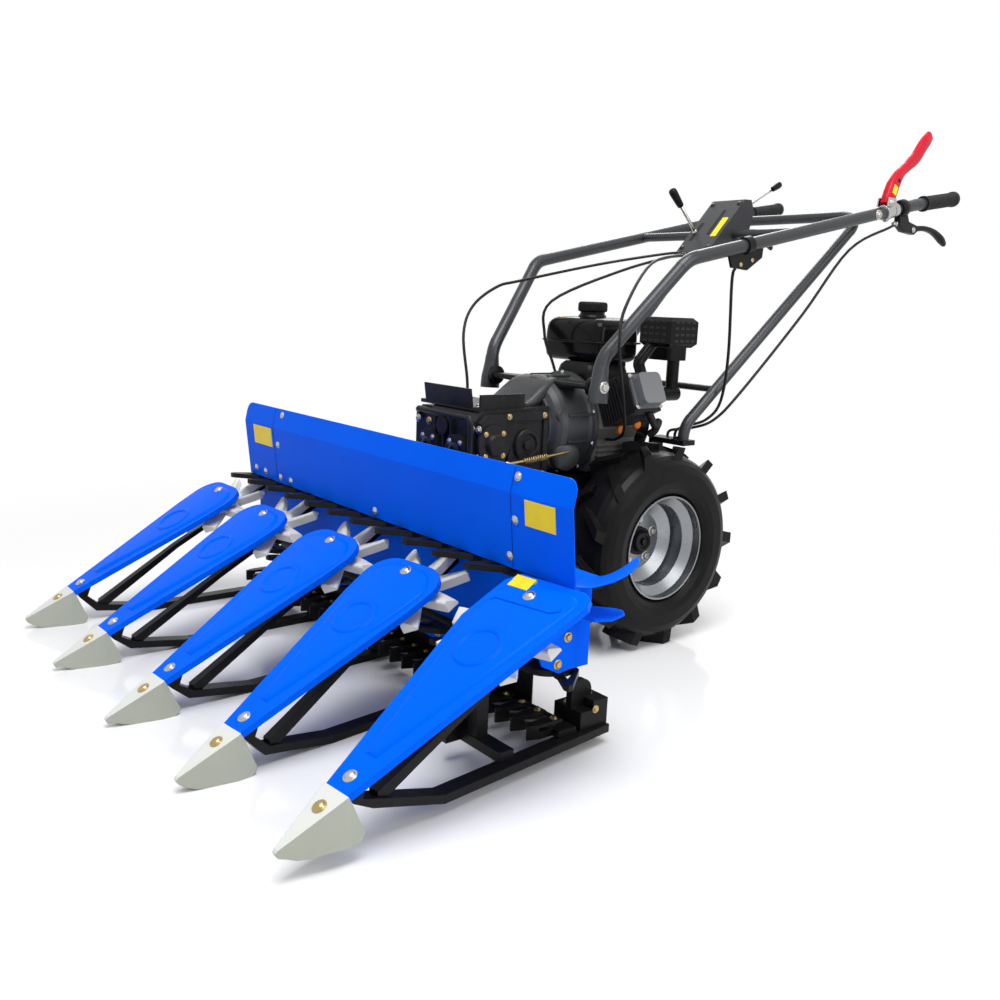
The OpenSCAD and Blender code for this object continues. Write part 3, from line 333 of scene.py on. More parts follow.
class Piece:
    """One mesh of many small forms on one body, with its slot's material or a look of its own."""

    def __init__(self, name, slot, look=None, body="root"):
        self.name, self.slot, self.look, self.body = name, slot, look or MATERIALS[slot], body
        self.verts, self.faces = [], []

    def add(self, verts, faces):
        first = len(self.verts)
        self.verts += verts
        self.faces += [tuple(first + i for i in face) for face in faces]

    def rings(self, rings):
        """Skins a row of rings of points and closes both ends."""
        count = len(rings[0])
        faces = [tuple(range(count))[::-1]]
        for i in range(len(rings) - 1):
            for k in range(count):
                n = (k + 1) % count
                faces.append((i * count + k, i * count + n, (i + 1) * count + n, (i + 1) * count + k))
        faces.append(tuple((len(rings) - 1) * count + k for k in range(count)))
        self.add([point for ring in rings for point in ring], faces)

    def hoop(self, foot, axis, profile, sides):
        """Turns a closed profile of (radius, height) about an axis, with an open bore."""
        axis, u, v = side_axes(axis)
        count = len(profile)
        verts, faces = [], []
        for k in range(sides):
            a = turn(k, sides)
            outward = u * math.cos(a) + v * math.sin(a)
            verts += [foot + (axis * h + outward * r) / 1000 for r, h in profile]
            n = (k + 1) % sides
            faces += [(k * count + i, n * count + i, n * count + (i + 1) % count, k * count + (i + 1) % count)
                      for i in range(count)]
        self.add(verts, faces)

    def lathe(self, foot, axis, profile, sides=20, ripple=(0, 0.0)):
        """Turns a profile of (radius, height) about an axis, with (count, depth) ripples round it."""
        axis, u, v = side_axes(axis)
        count, depth = ripple
        rings = []
        for r, h in profile:
            ring = []
            for k in range(sides):
                a = turn(k, sides)
                reach = r + depth * math.cos(count * a) * (r > 1)
                ring.append(foot + (axis * h + (u * math.cos(a) + v * math.sin(a)) * reach) / 1000)
            rings.append(ring)
        self.rings(rings)

    def bolt(self, foot, axis, r):
        """Hexagon head on a washer."""
        self.lathe(foot, axis, [(r * 1.5, -0.5), (r * 1.5, 1.2), (r * 1.4, 1.6)])
        self.lathe(foot, axis, [(r * 0.98, 1.0), (r * 1.05, 1.8), (r * 1.05, r * 0.7), (r * 0.85, r * 0.9)],
                   sides=6)

    def dome(self, foot, axis, r):
        """Round head on a washer."""
        self.lathe(foot, axis, [(r * 1.4, -0.5), (r * 1.4, 1.0), (r * 1.05, 1.3), (r, r * 0.3),
                                (r * 0.75, r * 0.55), (r * 0.3, r * 0.68)])

    def tube(self, path, r, sides=10):
        """A round bar along a path."""
        rings = []
        side = None
        for i, point in enumerate(path):
            ahead = path[min(i + 1, len(path) - 1)] - path[max(i - 1, 0)]
            ahead.normalize()
            side = ahead.orthogonal() if side is None else side - ahead * side.dot(ahead)
            side.normalize()
            other = ahead.cross(side)
            ring = []
            for k in range(sides):
                a = turn(k, sides)
                ring.append(point + (side * math.cos(a) + other * math.sin(a)) * r / 1000)
            rings.append(ring)
        self.rings(rings)

    def sweep(self, path, across, half, thick, square=0.55):
        """A flat bar with round edges along a path.

        half and thick are half its width and thickness at evenly spread stations. square is the power of the
        section: 1 is an ellipse, and less is squarer."""
        rings = []
        for i, point in enumerate(path):
            ahead = (path[min(i + 1, len(path) - 1)] - path[max(i - 1, 0)]).normalized()
            flat = (across - ahead * across.dot(ahead)).normalized()
            wide = ahead.cross(flat)
            t = i / (len(path) - 1)
            ring = []
            for k in range(SWEEP_SIDES):
                c, s = math.cos(turn(k, SWEEP_SIDES)), math.sin(turn(k, SWEEP_SIDES))
                ring.append(point + (wide * math.copysign(abs(c) ** square, c) * spread(half, t)
                                     + flat * math.copysign(abs(s) ** square, s) * spread(thick, t)) / 1000)
            rings.append(ring)
        self.rings(rings)

    def soft_box(self, x, y, levels, corner):
        """A box with round corners, skinned over (height, inset) levels; x and y are (low, high)."""
        rings = []
        for z, inset in levels:
            r = max(10, corner - inset * 0.4)
            x0, x1 = x[0] + inset + r, x[1] - inset - r
            y0, y1 = y[0] + inset + r, y[1] - inset - r
            ring = []
            for cx, cy, quarter in ((x1, y1, 0), (x0, y1, 90), (x0, y0, 180), (x1, y0, 270)):
                for k in range(CORNER_STEPS + 1):
                    a = math.radians(quarter + 90 / CORNER_STEPS * k)
                    ring.append(at(cx + r * math.cos(a), cy + r * math.sin(a), z))
            rings.append(ring)
        self.rings(rings)

    def slab(self, corners, out, thick, edge):
        """A plate on a ring of corners, raised along out, with a cut edge.

        The corners run anticlockwise seen from outside."""
        out = Vector(out).normalized()
        centre = sum(corners, Vector()) / len(corners)
        foot = [c - out * SLAB_SUNK_M for c in corners]
        wall = [c + out * (thick - edge) / 1000 for c in corners]
        top = [c + (centre - c).normalized() * edge / 1000 + out * thick / 1000 for c in corners]
        self.rings([foot, wall, top])

    def done(self, *replaced):
        data = bpy.data.meshes.new(self.name)
        data.from_pydata(self.verts, [], self.faces)
        data.validate()
        data.shade_smooth()
        data.set_sharp_from_angle(angle=SHARP_ANGLE)
        data.materials.append(self.look)
        made = placed(self.name, data)
        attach(made, self.body)
        if replaced:
            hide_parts(*replaced)


# Bolts and stickers that all sections add to
zinc = Piece("zinc_bolts", "bare_steel", ZINC)
brass = Piece("yellow_bolts", "bare_steel", BRASS)
dark = Piece("dark_bolts", "black_steel", DARK_BOLT)
labels = Piece("blank_labels", "red_paint", STICKER)


# Dividers

# y and x of the rear end, y and x of the joint with the nose, lift
DIVIDERS = {
    "a": (-630, 675, -628, 1074, 0),
    "b": (-350, 685, -333, 1090, 0),
    "c": (-45, 680, -11, 1086, 0),
    "d": (234, 677, 284, 1070, 0),
    "e": (550, 640, 596, 1052, 14),
}
SLOPE = math.radians(28.5)
# A place that the slope of the faces runs through
FACE_X, FACE_Z = 677, 296
NOSE_RUN = 97
COVER_HALF, COVER_TIP, COVER_R = 94, 25, 55
PANEL_H = 4.5
# Distance from the nose, inset and height of the panel's edge, from its foot to its flat
PANEL_EDGE = ((66, 13, -0.4), (69, 15, 2.4), (73, 18, 4.1), (77, 21, PANEL_H))
RING_S = 170
RING_PROFILE = [(44, 4), (42, 6.4), (38, 7.6), (34, 6.4), (32, 4)]
# Places along and across the outer divider
OUTER_CREASE = ((74, -62), (66, -56), (64, 0), (62, 60), (52, 74))
OUTER_LABEL = rectangle(8, 36, -58, -14)


def divider_frame(d):
    """Rear end of a divider's face, the directions along, across and out of it, and its length."""
    y0, x0, y1, x1, lift = DIVIDERS[d]
    yaw = math.atan2(y1 - y0, x1 - x0)
    forward = Vector((math.cos(yaw), math.sin(yaw), 0))
    across = Vector((-math.sin(yaw), math.cos(yaw), 0))
    along = forward * math.cos(SLOPE) - UP * math.sin(SLOPE)
    out = forward * math.sin(SLOPE) + UP * math.cos(SLOPE)
    rear = Vector((x0, y0, FACE_Z - (x0 - FACE_X) * math.tan(SLOPE) + lift))
    return rear, along, across, out, math.hypot(x1 - x0, y1 - y0) / math.cos(SLOPE)


def on_divider(d, s, t, h=0.0):
    """A point s along a divider from its rear end, t across it and h out of its face."""
    rear, along, across, out, _ = divider_frame(d)
    return at(*(rear + along * s + across * t + out * h))


def arc(s, t, r, start, end):
    """Points on an arc from one angle to another, in degrees."""
    angles = [math.radians(start + (end - start) * i / CORNER_STEPS) for i in range(CORNER_STEPS + 1)]
    return [(s + r * math.cos(a), t + r * math.sin(a)) for a in angles]


def cover_outline(d, length, inset):
    """The outline of a divider's face, drawn in by inset."""
    half, tip, r = COVER_HALF - inset, max(1, COVER_TIP - inset), COVER_R
    if d == "e":
        return [(length, tip), (26 + inset, half + 12), (8 + inset, half + 4), (inset, half - 12),
                (inset, 38 - half), (22 + inset, 18 - half), (120, 6 - half), (length, -tip)]
    return ([(length, tip), (120, half - 6)] + arc(inset + r + 8, half - r, r, 90, 180)
            + arc(inset + r + 8, r - half, r, 180, 270) + [(120, 6 - half), (length, -tip)])


def divider_panel(panels, d):
    """The panel pressed up in a divider's face, with its pressed ring."""
    out, length = divider_frame(d)[3:]
    panels.rings([[on_divider(d, s, t, h) for s, t in cover_outline(d, length - cut, inset)]
                  for cut, inset, h in PANEL_EDGE])
    panels.lathe(on_divider(d, RING_S, 0), out, RING_PROFILE, sides=56)


def outer_crease(panels):
    """The crease across the rear of the outer divider's panel."""
    path = [on_divider("e", s, t, PANEL_H) for s, t in OUTER_CREASE]
    panels.sweep(path, divider_frame("e")[3], (4, 4), (1.6, 2.2, 2.2, 1.6))


def divider_bolts(d):
    """The bolts at the rear end of a divider, before its nose and on its nose."""
    rear, along, across, out, length = divider_frame(d)
    zinc.dome(on_divider(d, 44 if d == "e" else 36, 0, PANEL_H), out, 8)
    zinc.dome(on_divider(d, length - 26, 0), out, 8)
    joint = rear + along * length
    tip_z = max(2 * DIVIDERS[d][4] + 20, joint.z - NOSE_RUN * math.tan(SLOPE))
    forward = Vector((along.x, along.y, 0)).normalized()
    nose = (forward - UP * ((joint.z - tip_z) / NOSE_RUN)).normalized()
    brass.dome(at(*(joint + nose * 32)), nose.cross(across), 8)


def divider_details():
    panels = Piece("divider_panels", "blue_paint")
    for d in DIVIDERS:
        divider_panel(panels, d)
        divider_bolts(d)
    outer_crease(panels)
    panels.done()
    labels.slab([on_divider("e", s, t) for s, t in OUTER_LABEL], divider_frame("e")[3], 5.4, 0.5)


# Board

BOARD_BOTTOM, BOARD_CREASE = 327, 461
BOARD_X, BOARD_LEAN = 631, 14
STRIP_H, STRIP_LEAN = 46, 10
BOARD_OUT = (BOARD_CREASE - BOARD_BOTTOM, 0, -BOARD_LEAN)
STRIP_OUT = (STRIP_H, 0, STRIP_LEAN)
# y and z of the bolts
BOARD_BOLTS = ((-432, 421), (-567, 346), (-516, 344), (-434, 342), (-381, 341), (462, 415), (444, 348),
               (0, 342))
STRIP_BOLTS = ((-414, 494), (464, 490))
# Range of y and range of z of the stickers
BOARD_LABELS = ((-560, -462, 411, 457), (489, 566, 411, 456))
SEAM_Y, SEAM_HALF = 452, 0.8
# Range of z of the seams on the board and on its top strip, and the direction that they face
SEAM_RUNS = ((329, 460, BOARD_OUT), (462, 505, STRIP_OUT))


def on_board(y, z):
    """A point on the front of the board or of its top strip."""
    if z <= BOARD_CREASE:
        x = BOARD_X + (z - BOARD_BOTTOM) * BOARD_LEAN / (BOARD_CREASE - BOARD_BOTTOM)
    else:
        x = BOARD_X + BOARD_LEAN - (z - BOARD_CREASE) * STRIP_LEAN / STRIP_H
    return at(x, y, z)


def board_patch(y0, y1, z0, z1):
    return [on_board(y, z) for y, z in rectangle(y0, y1, z0, z1)]


def board_fittings():
    for y, z in BOARD_BOLTS:
        zinc.dome(on_board(y, z), BOARD_OUT, 6)
    for y, z in STRIP_BOLTS:
        zinc.dome(on_board(y, z), STRIP_OUT, 6)
    for y0, y1, z0, z1 in BOARD_LABELS:
        labels.slab(board_patch(y0, y1, z0, z1), BOARD_OUT, 0.8, 0.4)


# Thin dark strips along the board's two seams: painted shade where the seams are.
def board_seams():
    seams = Piece("board_seams", "blue_paint", SEAM_SHADE)
    for y in (-SEAM_Y, SEAM_Y):
        for z0, z1, out in SEAM_RUNS:
            seams.slab(board_patch(y - SEAM_HALF, y + SEAM_HALF, z0, z1), out, 0.5, 0.2)
    seams.done()


# Star wheels: wedge-shaped teeth with hollow ends round a hub

STAR_R, STAR_TEETH, STAR_BOTTOM = 114, 8, -44
STAR_HUB = [(12.3, 1), (50, 1), (54, 4), (54, 14), (50, 18), (30, 19.5), (12.3, 19.5)]
# Reach from the axis and half width of a tooth
STAR_TOOTH = ((38, 21), (58, 20), (86, 17.5), (106, 15), (STAR_R, 13.5))
TOOTH_HOLLOW = 5


def star_tooth(star, foot, outward, axis):
    """One tooth: upright on its right, seen from the hub, and sloping down to its left."""
    right = outward.cross(axis)
    rings = []
    for reach, half in STAR_TOOTH:
        section = ((half, 0), (half, 17.6), (half - 2.4, 20), (half - 7, 20), (2 - half, 7), (-half, 4.5),
                   (-half, 0))
        hollow = TOOTH_HOLLOW if reach == STAR_R else 0
        ring = []
        for t, h in section:
            depth = hollow * (1 - (t / half) ** 2)
            ring.append(foot + (outward * (reach - depth) + right * t + axis * h) / 1000)
        rings.append(ring)
    star.rings(rings)


def star_wheel(d):
    body = "star_" + d
    star = Piece("moulded_" + body, "white_plastic", body=body)
    axis = Vector(joints[body]["axis"]).normalized()
    foot = Vector(joints[body]["pos_m"]) + axis * STAR_BOTTOM / 1000
    along = divider_frame(d)[1]
    left = axis.cross(along)
    star.hoop(foot, axis, STAR_HUB, 48)
    for k in range(STAR_TEETH):
        a = turn(k, STAR_TEETH)
        star_tooth(star, foot, along * math.cos(a) + left * math.sin(a), axis)
    star.done(body)


# Conveyors and cutter bar

CHAIN_X, CHAIN_R = 565, 44
CHAIN_TOPS = (325, 154)
CHAIN_END, CHAIN_PITCH, CHAIN_PINS = -585, 25, 42
GUARD_BOLTS, GUARD_END, GUARD_PITCH = 27, -630, 44
APRON_BOLTS, APRON_END, APRON_PITCH = 9, -490, 110
# x and z of the bolts on the left end plate
PLATE_BOLTS = ((602, 232), (622, 188), (652, 214))
# Place and direction of the bolts on the knife drive
DRIVE_BOLTS = ((486, 505, 86, UP), (520, 488, 70, UP), (500, 540, 70, LEFT))


def chain_links():
    links = Piece("chain_links", "black_steel", DARK_BOLT)
    for top in CHAIN_TOPS:
        for x in (CHAIN_X - CHAIN_R, CHAIN_X + CHAIN_R):
            for i in range(CHAIN_PINS):
                y = CHAIN_END + CHAIN_PITCH * i
                links.lathe(at(x, y, top), UP, [(3.6, -0.5), (3.6, 1.6), (2.8, 2.2)], sides=10)
                if i % 2 == 0:
                    plate = rectangle(x - 5, x + 5, y - 4, y + CHAIN_PITCH + 4)
                    links.slab([at(px, py, top) for px, py in plate], UP, 1.2, 0.4)
    links.done()


def header_bolts():
    for i in range(GUARD_BOLTS):
        brass.dome(at(576, GUARD_END + GUARD_PITCH * i, 62), UP, 5)
    for i in range(APRON_BOLTS):
        brass.bolt(at(585, APRON_END + APRON_PITCH * i, 118), FRONT, 6)
    for x, z in PLATE_BOLTS:
        brass.bolt(at(x, 566, z), LEFT, 6)
    for x, y, z, out in DRIVE_BOLTS:
        brass.bolt(at(x, y, z), out, 5)


# Leaf-shaped sheets past the left wheel

UPPER_GUIDE = ((600, 578, 331), (585, 602, 333), (562, 624, 344), (538, 634, 358), (519, 633, 371))
LOWER_GUIDE_Z = 272
LOWER_GUIDE = ((585, 544), (599, 590), (595, 620), (567, 632), (528, 622), (516, 606), (524, 588), (547, 560),
               (545, 544))


def crop_guides():
    """The upper sheet bends up to its tip, and the lower one is flat."""
    guides = Piece("curved_crop_guides", "blue_paint")
    path = smooth([at(*point) for point in UPPER_GUIDE])
    guides.sweep(path, Vector((0.15, -0.2, 1)), (32, 34, 28, 17, 4), (2, 2))
    guides.slab([at(x, y, LOWER_GUIDE_Z) for x, y in LOWER_GUIDE], UP, 4, 1)
    guides.done("crop_guides")


# Wheels

NUT_COUNT, NUT_CIRCLE, NUT_START, NUT_FACE = 5, 52, 0.3, 151
AXLE_FACE = 167
AXLE_END = [(25, -1), (25, 3), (22, 6), (16, 6.5), (14, 3), (9, 3), (8, 9), (6, 10.5), (1.5, 10.5)]
VALVE_CIRCLE, VALVE_TURN, VALVE_FACE = 92, 1.2, 160
VALVE_PROFILE = [(6, 0), (5, 8), (4, 10), (4, 26), (5, 27), (5, 36), (3, 37)]


def on_wheel(radius, angle, y):
    return at(radius * math.cos(angle), y, WHEEL_R + radius * math.sin(angle))


def wheel_fittings(side, name):
    body = "wheel_" + name
    out = (0, side, 0)
    nuts = Piece("wheel_nuts_" + name, "bare_steel", ZINC, body)
    for k in range(NUT_COUNT):
        nuts.bolt(on_wheel(NUT_CIRCLE, turn(k, NUT_COUNT, NUT_START), side * NUT_FACE), out, 9)
    nuts.done()
    axle_end = Piece("axle_end_" + name, "black_steel", DARK_BOLT, body)
    axle_end.lathe(at(0, side * AXLE_FACE, WHEEL_R), out, AXLE_END, sides=36)
    axle_end.done()
    valve = Piece("valve_" + name, "tyre", MATERIALS["grip_rubber"], body)
    valve.lathe(on_wheel(VALVE_CIRCLE, VALVE_TURN, side * VALVE_FACE), out, VALVE_PROFILE, sides=14)
    valve.done()


# Engine and gearbox: caps and bolts

CAP_PROFILE = [(13, 0), (13, 6), (11, 8), (11, 15), (9, 17), (3, 17.5)]
BELL_BOLTS, BELL_CIRCLE = 10, 116
# Places over the top of the gearbox case: y and z on the front, x and z on the left, x and y on the top
FRONT_BRASS = ((-84, 40), (-84, 124), (76, 40), (76, 124), (-20, 36))
FRONT_ZINC = ((-132, 52), (-132, 124), (92, 64), (92, 124))
LEFT_BRASS = ((256, 18), (356, 18), (256, 148), (356, 148))
TOP_ZINC = ((304, -124), (304, 52), (412, -130), (412, 52), (360, -130))
SHAFT_X, SHAFT_Y, SHAFT_Z = 456, (-72, 30), 72
SIDE_BOSS_X, SIDE_BOSS_Z = 406, 92
SHAFT_CIRCLE, BOSS_CIRCLE = 27, 33


def oil_caps():
    caps = Piece("oil_caps", "red_paint", ORANGE)
    for x, z in ((40, CRANK_Z - 8), (-14, CRANK_Z + 1)):
        caps.lathe(at(x, 99, z), LEFT, CAP_PROFILE, sides=48, ripple=(12, 0.7))
    caps.done()


def housing_bolts():
    """Bolts round the bell, along the crankcase and on the front gearbox."""
    for k in range(BELL_BOLTS):
        a = turn(k + 0.5, BELL_BOLTS)
        zinc.bolt(at(130, BELL_CIRCLE * math.cos(a), CRANK_Z + BELL_CIRCLE * math.sin(a)), FRONT, 4)
    for x in (-8, 30, 68, 104):
        brass.bolt(at(x, 98.5, CASE_TOP + 28), LEFT, 5)
    for y, z in FRONT_BRASS:
        brass.bolt(at(444, y, CASE_TOP + z), FRONT, 6)
    for y, z in FRONT_ZINC:
        zinc.bolt(at(440, y, CASE_TOP + z), FRONT, 6)
    for y in SHAFT_Y:
        for k in range(4):
            a = turn(k, 4, math.pi / 4)
            z = CASE_TOP + SHAFT_Z + SHAFT_CIRCLE * math.sin(a)
            zinc.bolt(at(SHAFT_X, y + SHAFT_CIRCLE * math.cos(a), z), FRONT, 4.5)
    for x, z in LEFT_BRASS:
        brass.bolt(at(x, 89, CASE_TOP + z), LEFT, 4.5)
    for k in range(4):
        a = turn(k, 4, math.pi / 4)
        z = CASE_TOP + SIDE_BOSS_Z + BOSS_CIRCLE * math.sin(a)
        brass.bolt(at(SIDE_BOSS_X + BOSS_CIRCLE * math.cos(a), 104, z), LEFT, 4)


# Front gearbox: rims, bosses and webs of the casting

CASTING_LEFT = 84
# x and z of the corners, thickness and cut edge of the plates on the left
CASTING_PLATES = (
    (((244, 8), (244, 28), (368, 28), (368, 8)), 5, 1.5),
    (((244, 138), (244, 158), (368, 156), (368, 138)), 5, 1.5),
    (((244, 28), (244, 138), (258, 138), (258, 28)), 5, 1.5),
    (((330, 40), (352, 84), (364, 40)), 7, 2),
)
CLUTCH_BOSS = [(36, -1), (36, 5), (33, 8), (25, 8), (23, 3), (12, 3), (11, 9), (4, 10)]
SIDE_BOSS = [(42, -1), (42, 6), (25, 7), (23, 15), (20, 18), (5, 19)]
SHAFT_SEAL = [(19, -1), (19, 4), (16, 6), (9, 6), (8, 2), (2, 2)]
# y of the webs on the front, and the corners of each from its middle and over the case
WEB_X, WEB_Y = 445, (-52, -20, 8)
WEB_CORNERS = rectangle(-4, 4, 34, 138)


def gearbox_casting():
    casting = Piece("gearbox_casting", "cast_black")
    for corners, thick, edge in CASTING_PLATES:
        casting.slab([at(x, CASTING_LEFT, CASE_TOP + z) for x, z in corners], LEFT, thick, edge)
    casting.lathe(at(302, CASTING_LEFT, CASE_TOP + 84), LEFT, CLUTCH_BOSS, sides=40)
    casting.lathe(at(SIDE_BOSS_X, 98, CASE_TOP + SIDE_BOSS_Z), LEFT, SIDE_BOSS, sides=40)
    for y in WEB_Y:
        casting.slab([at(WEB_X, y + w, CASE_TOP + z) for w, z in WEB_CORNERS], FRONT, 8, 1.5)
    for y in SHAFT_Y:
        casting.lathe(at(SHAFT_X, y, CASE_TOP + SHAFT_Z), FRONT, SHAFT_SEAL, sides=32)
    casting.done()


# Clutch bell and engine cowl

# x and height over the crank of the shoulder's middle line
SHOULDER = ((176, 96), (196, 96), (216, 88), (236, 72), (262, 55), (284, 48))
BELL_BOSS = [(34, -16), (34, 4), (30, 10), (18, 14), (4, 15)]
BELL_SPIGOT = [(19, -20), (17, 16), (15, 19), (6, 19), (5, 16), (2, 16)]
# Height over the crank and inset
COWL_LEVELS = ((94, 2), (97, 0), (118, 1), (131, 5), (139.6, 14))
RIB_COUNT, RIB_FOOT_M = 12, 0.111
RIB_CORNERS = rectangle(134, 202, -3, 3)


def bell_shoulder():
    """The shoulder that runs into the gearbox, and the boss and the spigot on the bell's left."""
    shoulder = Piece("bell_shoulder", "housing_grey")
    shoulder.sweep([at(x, -8, CRANK_Z + z) for x, z in SHOULDER], UP, (52, 62, 68, 70, 70, 66),
                   (14, 16, 18, 20, 18, 10))
    shoulder.lathe(at(196, 96, CRANK_Z - 62), (0.25, 1, 0), BELL_BOSS, sides=36)
    shoulder.lathe(at(212, 84, CRANK_Z + 26), (0, 1, 0.1), BELL_SPIGOT, sides=28)
    shoulder.done()


def engine_cowl():
    """The cowl between the crankcase and the tank."""
    cowl = Piece("engine_top_cowl", "black_plastic")
    cowl.soft_box((-58, 80), (-84, 38), [(CRANK_Z + z, inset) for z, inset in COWL_LEVELS], 20)
    cowl.done()
    for x, y in TOP_ZINC:
        zinc.bolt(at(x, y, CASE_TOP + 168), UP, 6)


def radial(a):
    """The directions out of the crank's axis and round it at an angle."""
    return Vector((0, math.cos(a), math.sin(a))), Vector((0, -math.sin(a), math.cos(a)))


def bell_ribs():
    """Ribs round the bell, apart from its underside and the place of the shoulder."""
    ribs = Piece("bell_ribs", "housing_grey")
    for k in range(RIB_COUNT):
        outward, tangent = radial(turn(k + 0.5, RIB_COUNT))
        if outward.z < -0.6 or 0.5 < outward.z < 0.95:
            continue
        base = at(0, 0, CRANK_Z) + outward * RIB_FOOT_M
        corners = [base + Vector((x / 1000, 0, 0)) + tangent * w / 1000 for x, w in RIB_CORNERS]
        ribs.slab(corners, outward, 6, 1.2)
    ribs.done()


# Recoil starter

VANE_COUNT = 14
RECOIL_BOLTS, RECOIL_CIRCLE = 3, 84
# Radius and half width of a vane at its corners
VANE_CORNERS = ((36, 2.5), (74, 4), (74, -4), (36, -2.5))
# The cover's end, and how it falls off past a radius
RECOIL_END, RECOIL_R, RECOIL_FALL = 100, 30, 9 / 48
RECOIL_HUB = [(24, 0), (24, 3), (20, 6), (8, 7), (8, 9), (3, 9)]
BACKWARD = (-1, 0, 0)


def recoil_vanes():
    recoil = Piece("recoil_vanes", "engine_black")
    for k in range(VANE_COUNT):
        outward, tangent = radial(turn(k, VANE_COUNT))
        corners = []
        for r, w in VANE_CORNERS:
            x = (r - RECOIL_R) * RECOIL_FALL - RECOIL_END
            corners.append(at(x, 0, CRANK_Z) + (outward * r + tangent * w) / 1000)
        recoil.slab(corners, BACKWARD, 4, 1)
    recoil.lathe(at(-99.5, 0, CRANK_Z), BACKWARD, RECOIL_HUB, sides=32)
    recoil.done()
    for k in range(RECOIL_BOLTS):
        a = turn(k, RECOIL_BOLTS, 0.5)
        dark.bolt(at(-77, RECOIL_CIRCLE * math.cos(a), CRANK_Z + RECOIL_CIRCLE * math.sin(a)), BACKWARD, 5)


# Fuel tank and muffler

CAP_NECK = [(35, -0.5), (33, 4), (30, 6), (30, 15)]
CAP_RIM = [(31, 12), (34.6, 14), (35, 17), (35, 28), (34, 32), (31, 35), (27, 36), (24, 35), (2, 35.5)]
# Height over the tank's foot and inset: round foot, wall, seam, wall, round top
TANK_LEVELS = (
    (0, 16), (2, 10), (6, 5), (12, 1.5), (22, 0), (43.6, 0), (44.1, -7), (45, -8), (47.5, -8), (48.4, -7),
    (48.9, 0), (66, 0.4), (80, 2), (88, 4.5), (94, 8.5), (98.5, 14), (101.6, 21), (103.6, 30), (104.8, 42),
    (105, 50))
# Range of x and range of y of the stickers
TANK_LABELS = ((24, 38, -128, -92), (20, 34, -34, 2))
SLOT_ROWS, SLOT_COUNT, SLOT_L, SLOT_H = 4, 4, 13, 6


def fuel_cap():
    cap = Piece("ribbed_fuel_cap", "black_plastic")
    foot = middle("fuel_cap")
    foot.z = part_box("fuel_cap")[0][2]
    cap.lathe(foot, UP, CAP_NECK, sides=48)
    cap.lathe(foot, UP, CAP_RIM, sides=144, ripple=(36, 0.7))
    cap.done("fuel_cap")


def fuel_tank():
    tank = Piece("moulded_fuel_tank", "engine_black")
    tank.soft_box((-80, 62), (-155, 45), [(TANK_Z + z, inset) for z, inset in TANK_LEVELS], 24)
    tank.done("fuel_tank")
    for x0, x1, y0, y1 in TANK_LABELS:
        labels.slab([at(x0, y0, TANK_Z + 101), at(x1, y0, TANK_Z + 99), at(x1, y1, TANK_Z + 99),
                     at(x0, y1, TANK_Z + 101)], (0.12, 0, 1), 3.4, 0.5)


def muffler_slots():
    """Slots on the left and on the front of the muffler's guard, drawn as thin near-black patches of painted
    shade.
    """
    slot_shade = Piece("muffler_slots", "black_steel", SLOT_SHADE)
    for row in range(SLOT_ROWS):
        z0 = CRANK_Z + 197 + 14 * row
        z1 = z0 + SLOT_H
        for i in range(SLOT_COUNT):
            x = -74 + 18 * i
            slot_shade.slab([at(px, 215, z) for z, px in rectangle(z0, z1, x, x + SLOT_L)], LEFT, 0.7, 0.3)
            y = 131 + 19 * i
            slot_shade.slab([at(7, py, z) for py, z in rectangle(y, y + SLOT_L, z0, z1)], FRONT, 0.7, 0.3)
    slot_shade.done()


def head_bolts():
    for x in (14, 86):
        for up in (-36, 36):
            zinc.bolt(at(x, 0, CRANK_Z) + (HEAD_AXIS * 210 + HEAD_UP * up) / 1000, HEAD_AXIS, 4)
    dark.dome(at(-133, 80, CRANK_Z + 230), UP, 11)


# Shift rod and breather

# Places with z over the gearbox case
ROD_PATH = ((378, 97, 52), (372, 108, 52), (350, 110, 52), (215, 110, 64), (196, 104, 68), (192, 84, 70))
SPRING_ENDS = ((330, 110, 53.8), (262, 110, 60))
SPRING_TURNS, SPRING_POINTS, SPRING_R_M = 11, 120, 0.006


def over_case(point):
    x, y, z = point
    return at(x, y, CASE_TOP + z)


def shift_rod():
    """The rod beside the gearbox, with its spring."""
    rod = Piece("shift_rod", "bare_steel", BRASS)
    rod.tube(smooth([over_case(point) for point in ROD_PATH], 6), 3)
    coil = []
    start, end = (over_case(point) for point in SPRING_ENDS)
    for i in range(SPRING_POINTS):
        t = i / (SPRING_POINTS - 1)
        coil.append(start.lerp(end, t) + radial(t * SPRING_TURNS * 2 * math.pi)[0] * SPRING_R_M)
    rod.tube(coil, 1.4, sides=6)
    rod.done()


def breather_elbow():
    """The stiff elbow of the breather under the head."""
    elbow = Piece("breather_elbow", "grip_rubber")
    foot = at(30, 0, CRANK_Z) + (HEAD_AXIS * 186 - HEAD_UP * 45) / 1000
    elbow.tube(smooth([foot, foot + Vector((-0.012, 0.012, -0.03)), at(6, 196, CRANK_Z + 18),
                       at(8, 188, CRANK_Z - 3), at(14, 176, CRANK_Z - 14)]), 9, sides=14)
    elbow.done()


# Handlebars

BAR_FRONT, BAR_BACK = Vector((8, 251, CRANK_Z + 377)), Vector((-845, 276, 1071))
# x and side
BAR_CLAMPS = ((-745, 1), (-745, -1), (-850, -1))
LOOP_FEET = {1: (-92, 166), -1: (-101, 112)}
# x, y, height over the crank
STRAP_PATH = ((177, 36, 96), (177, 84, 96), (178, 112, 97), (184, 142, 98), (191, 170, 98))
FOOT_PATH = ((195.4, 189, 66), (194, 189, 90), (192.4, 189, 118), (191, 189, 145))
STRAP_BOSS = [(18, -1), (22, 1), (22, 9), (21, 10.4)]
QUADRANT_BOLTS = ((-200, 892), (-160, 880))


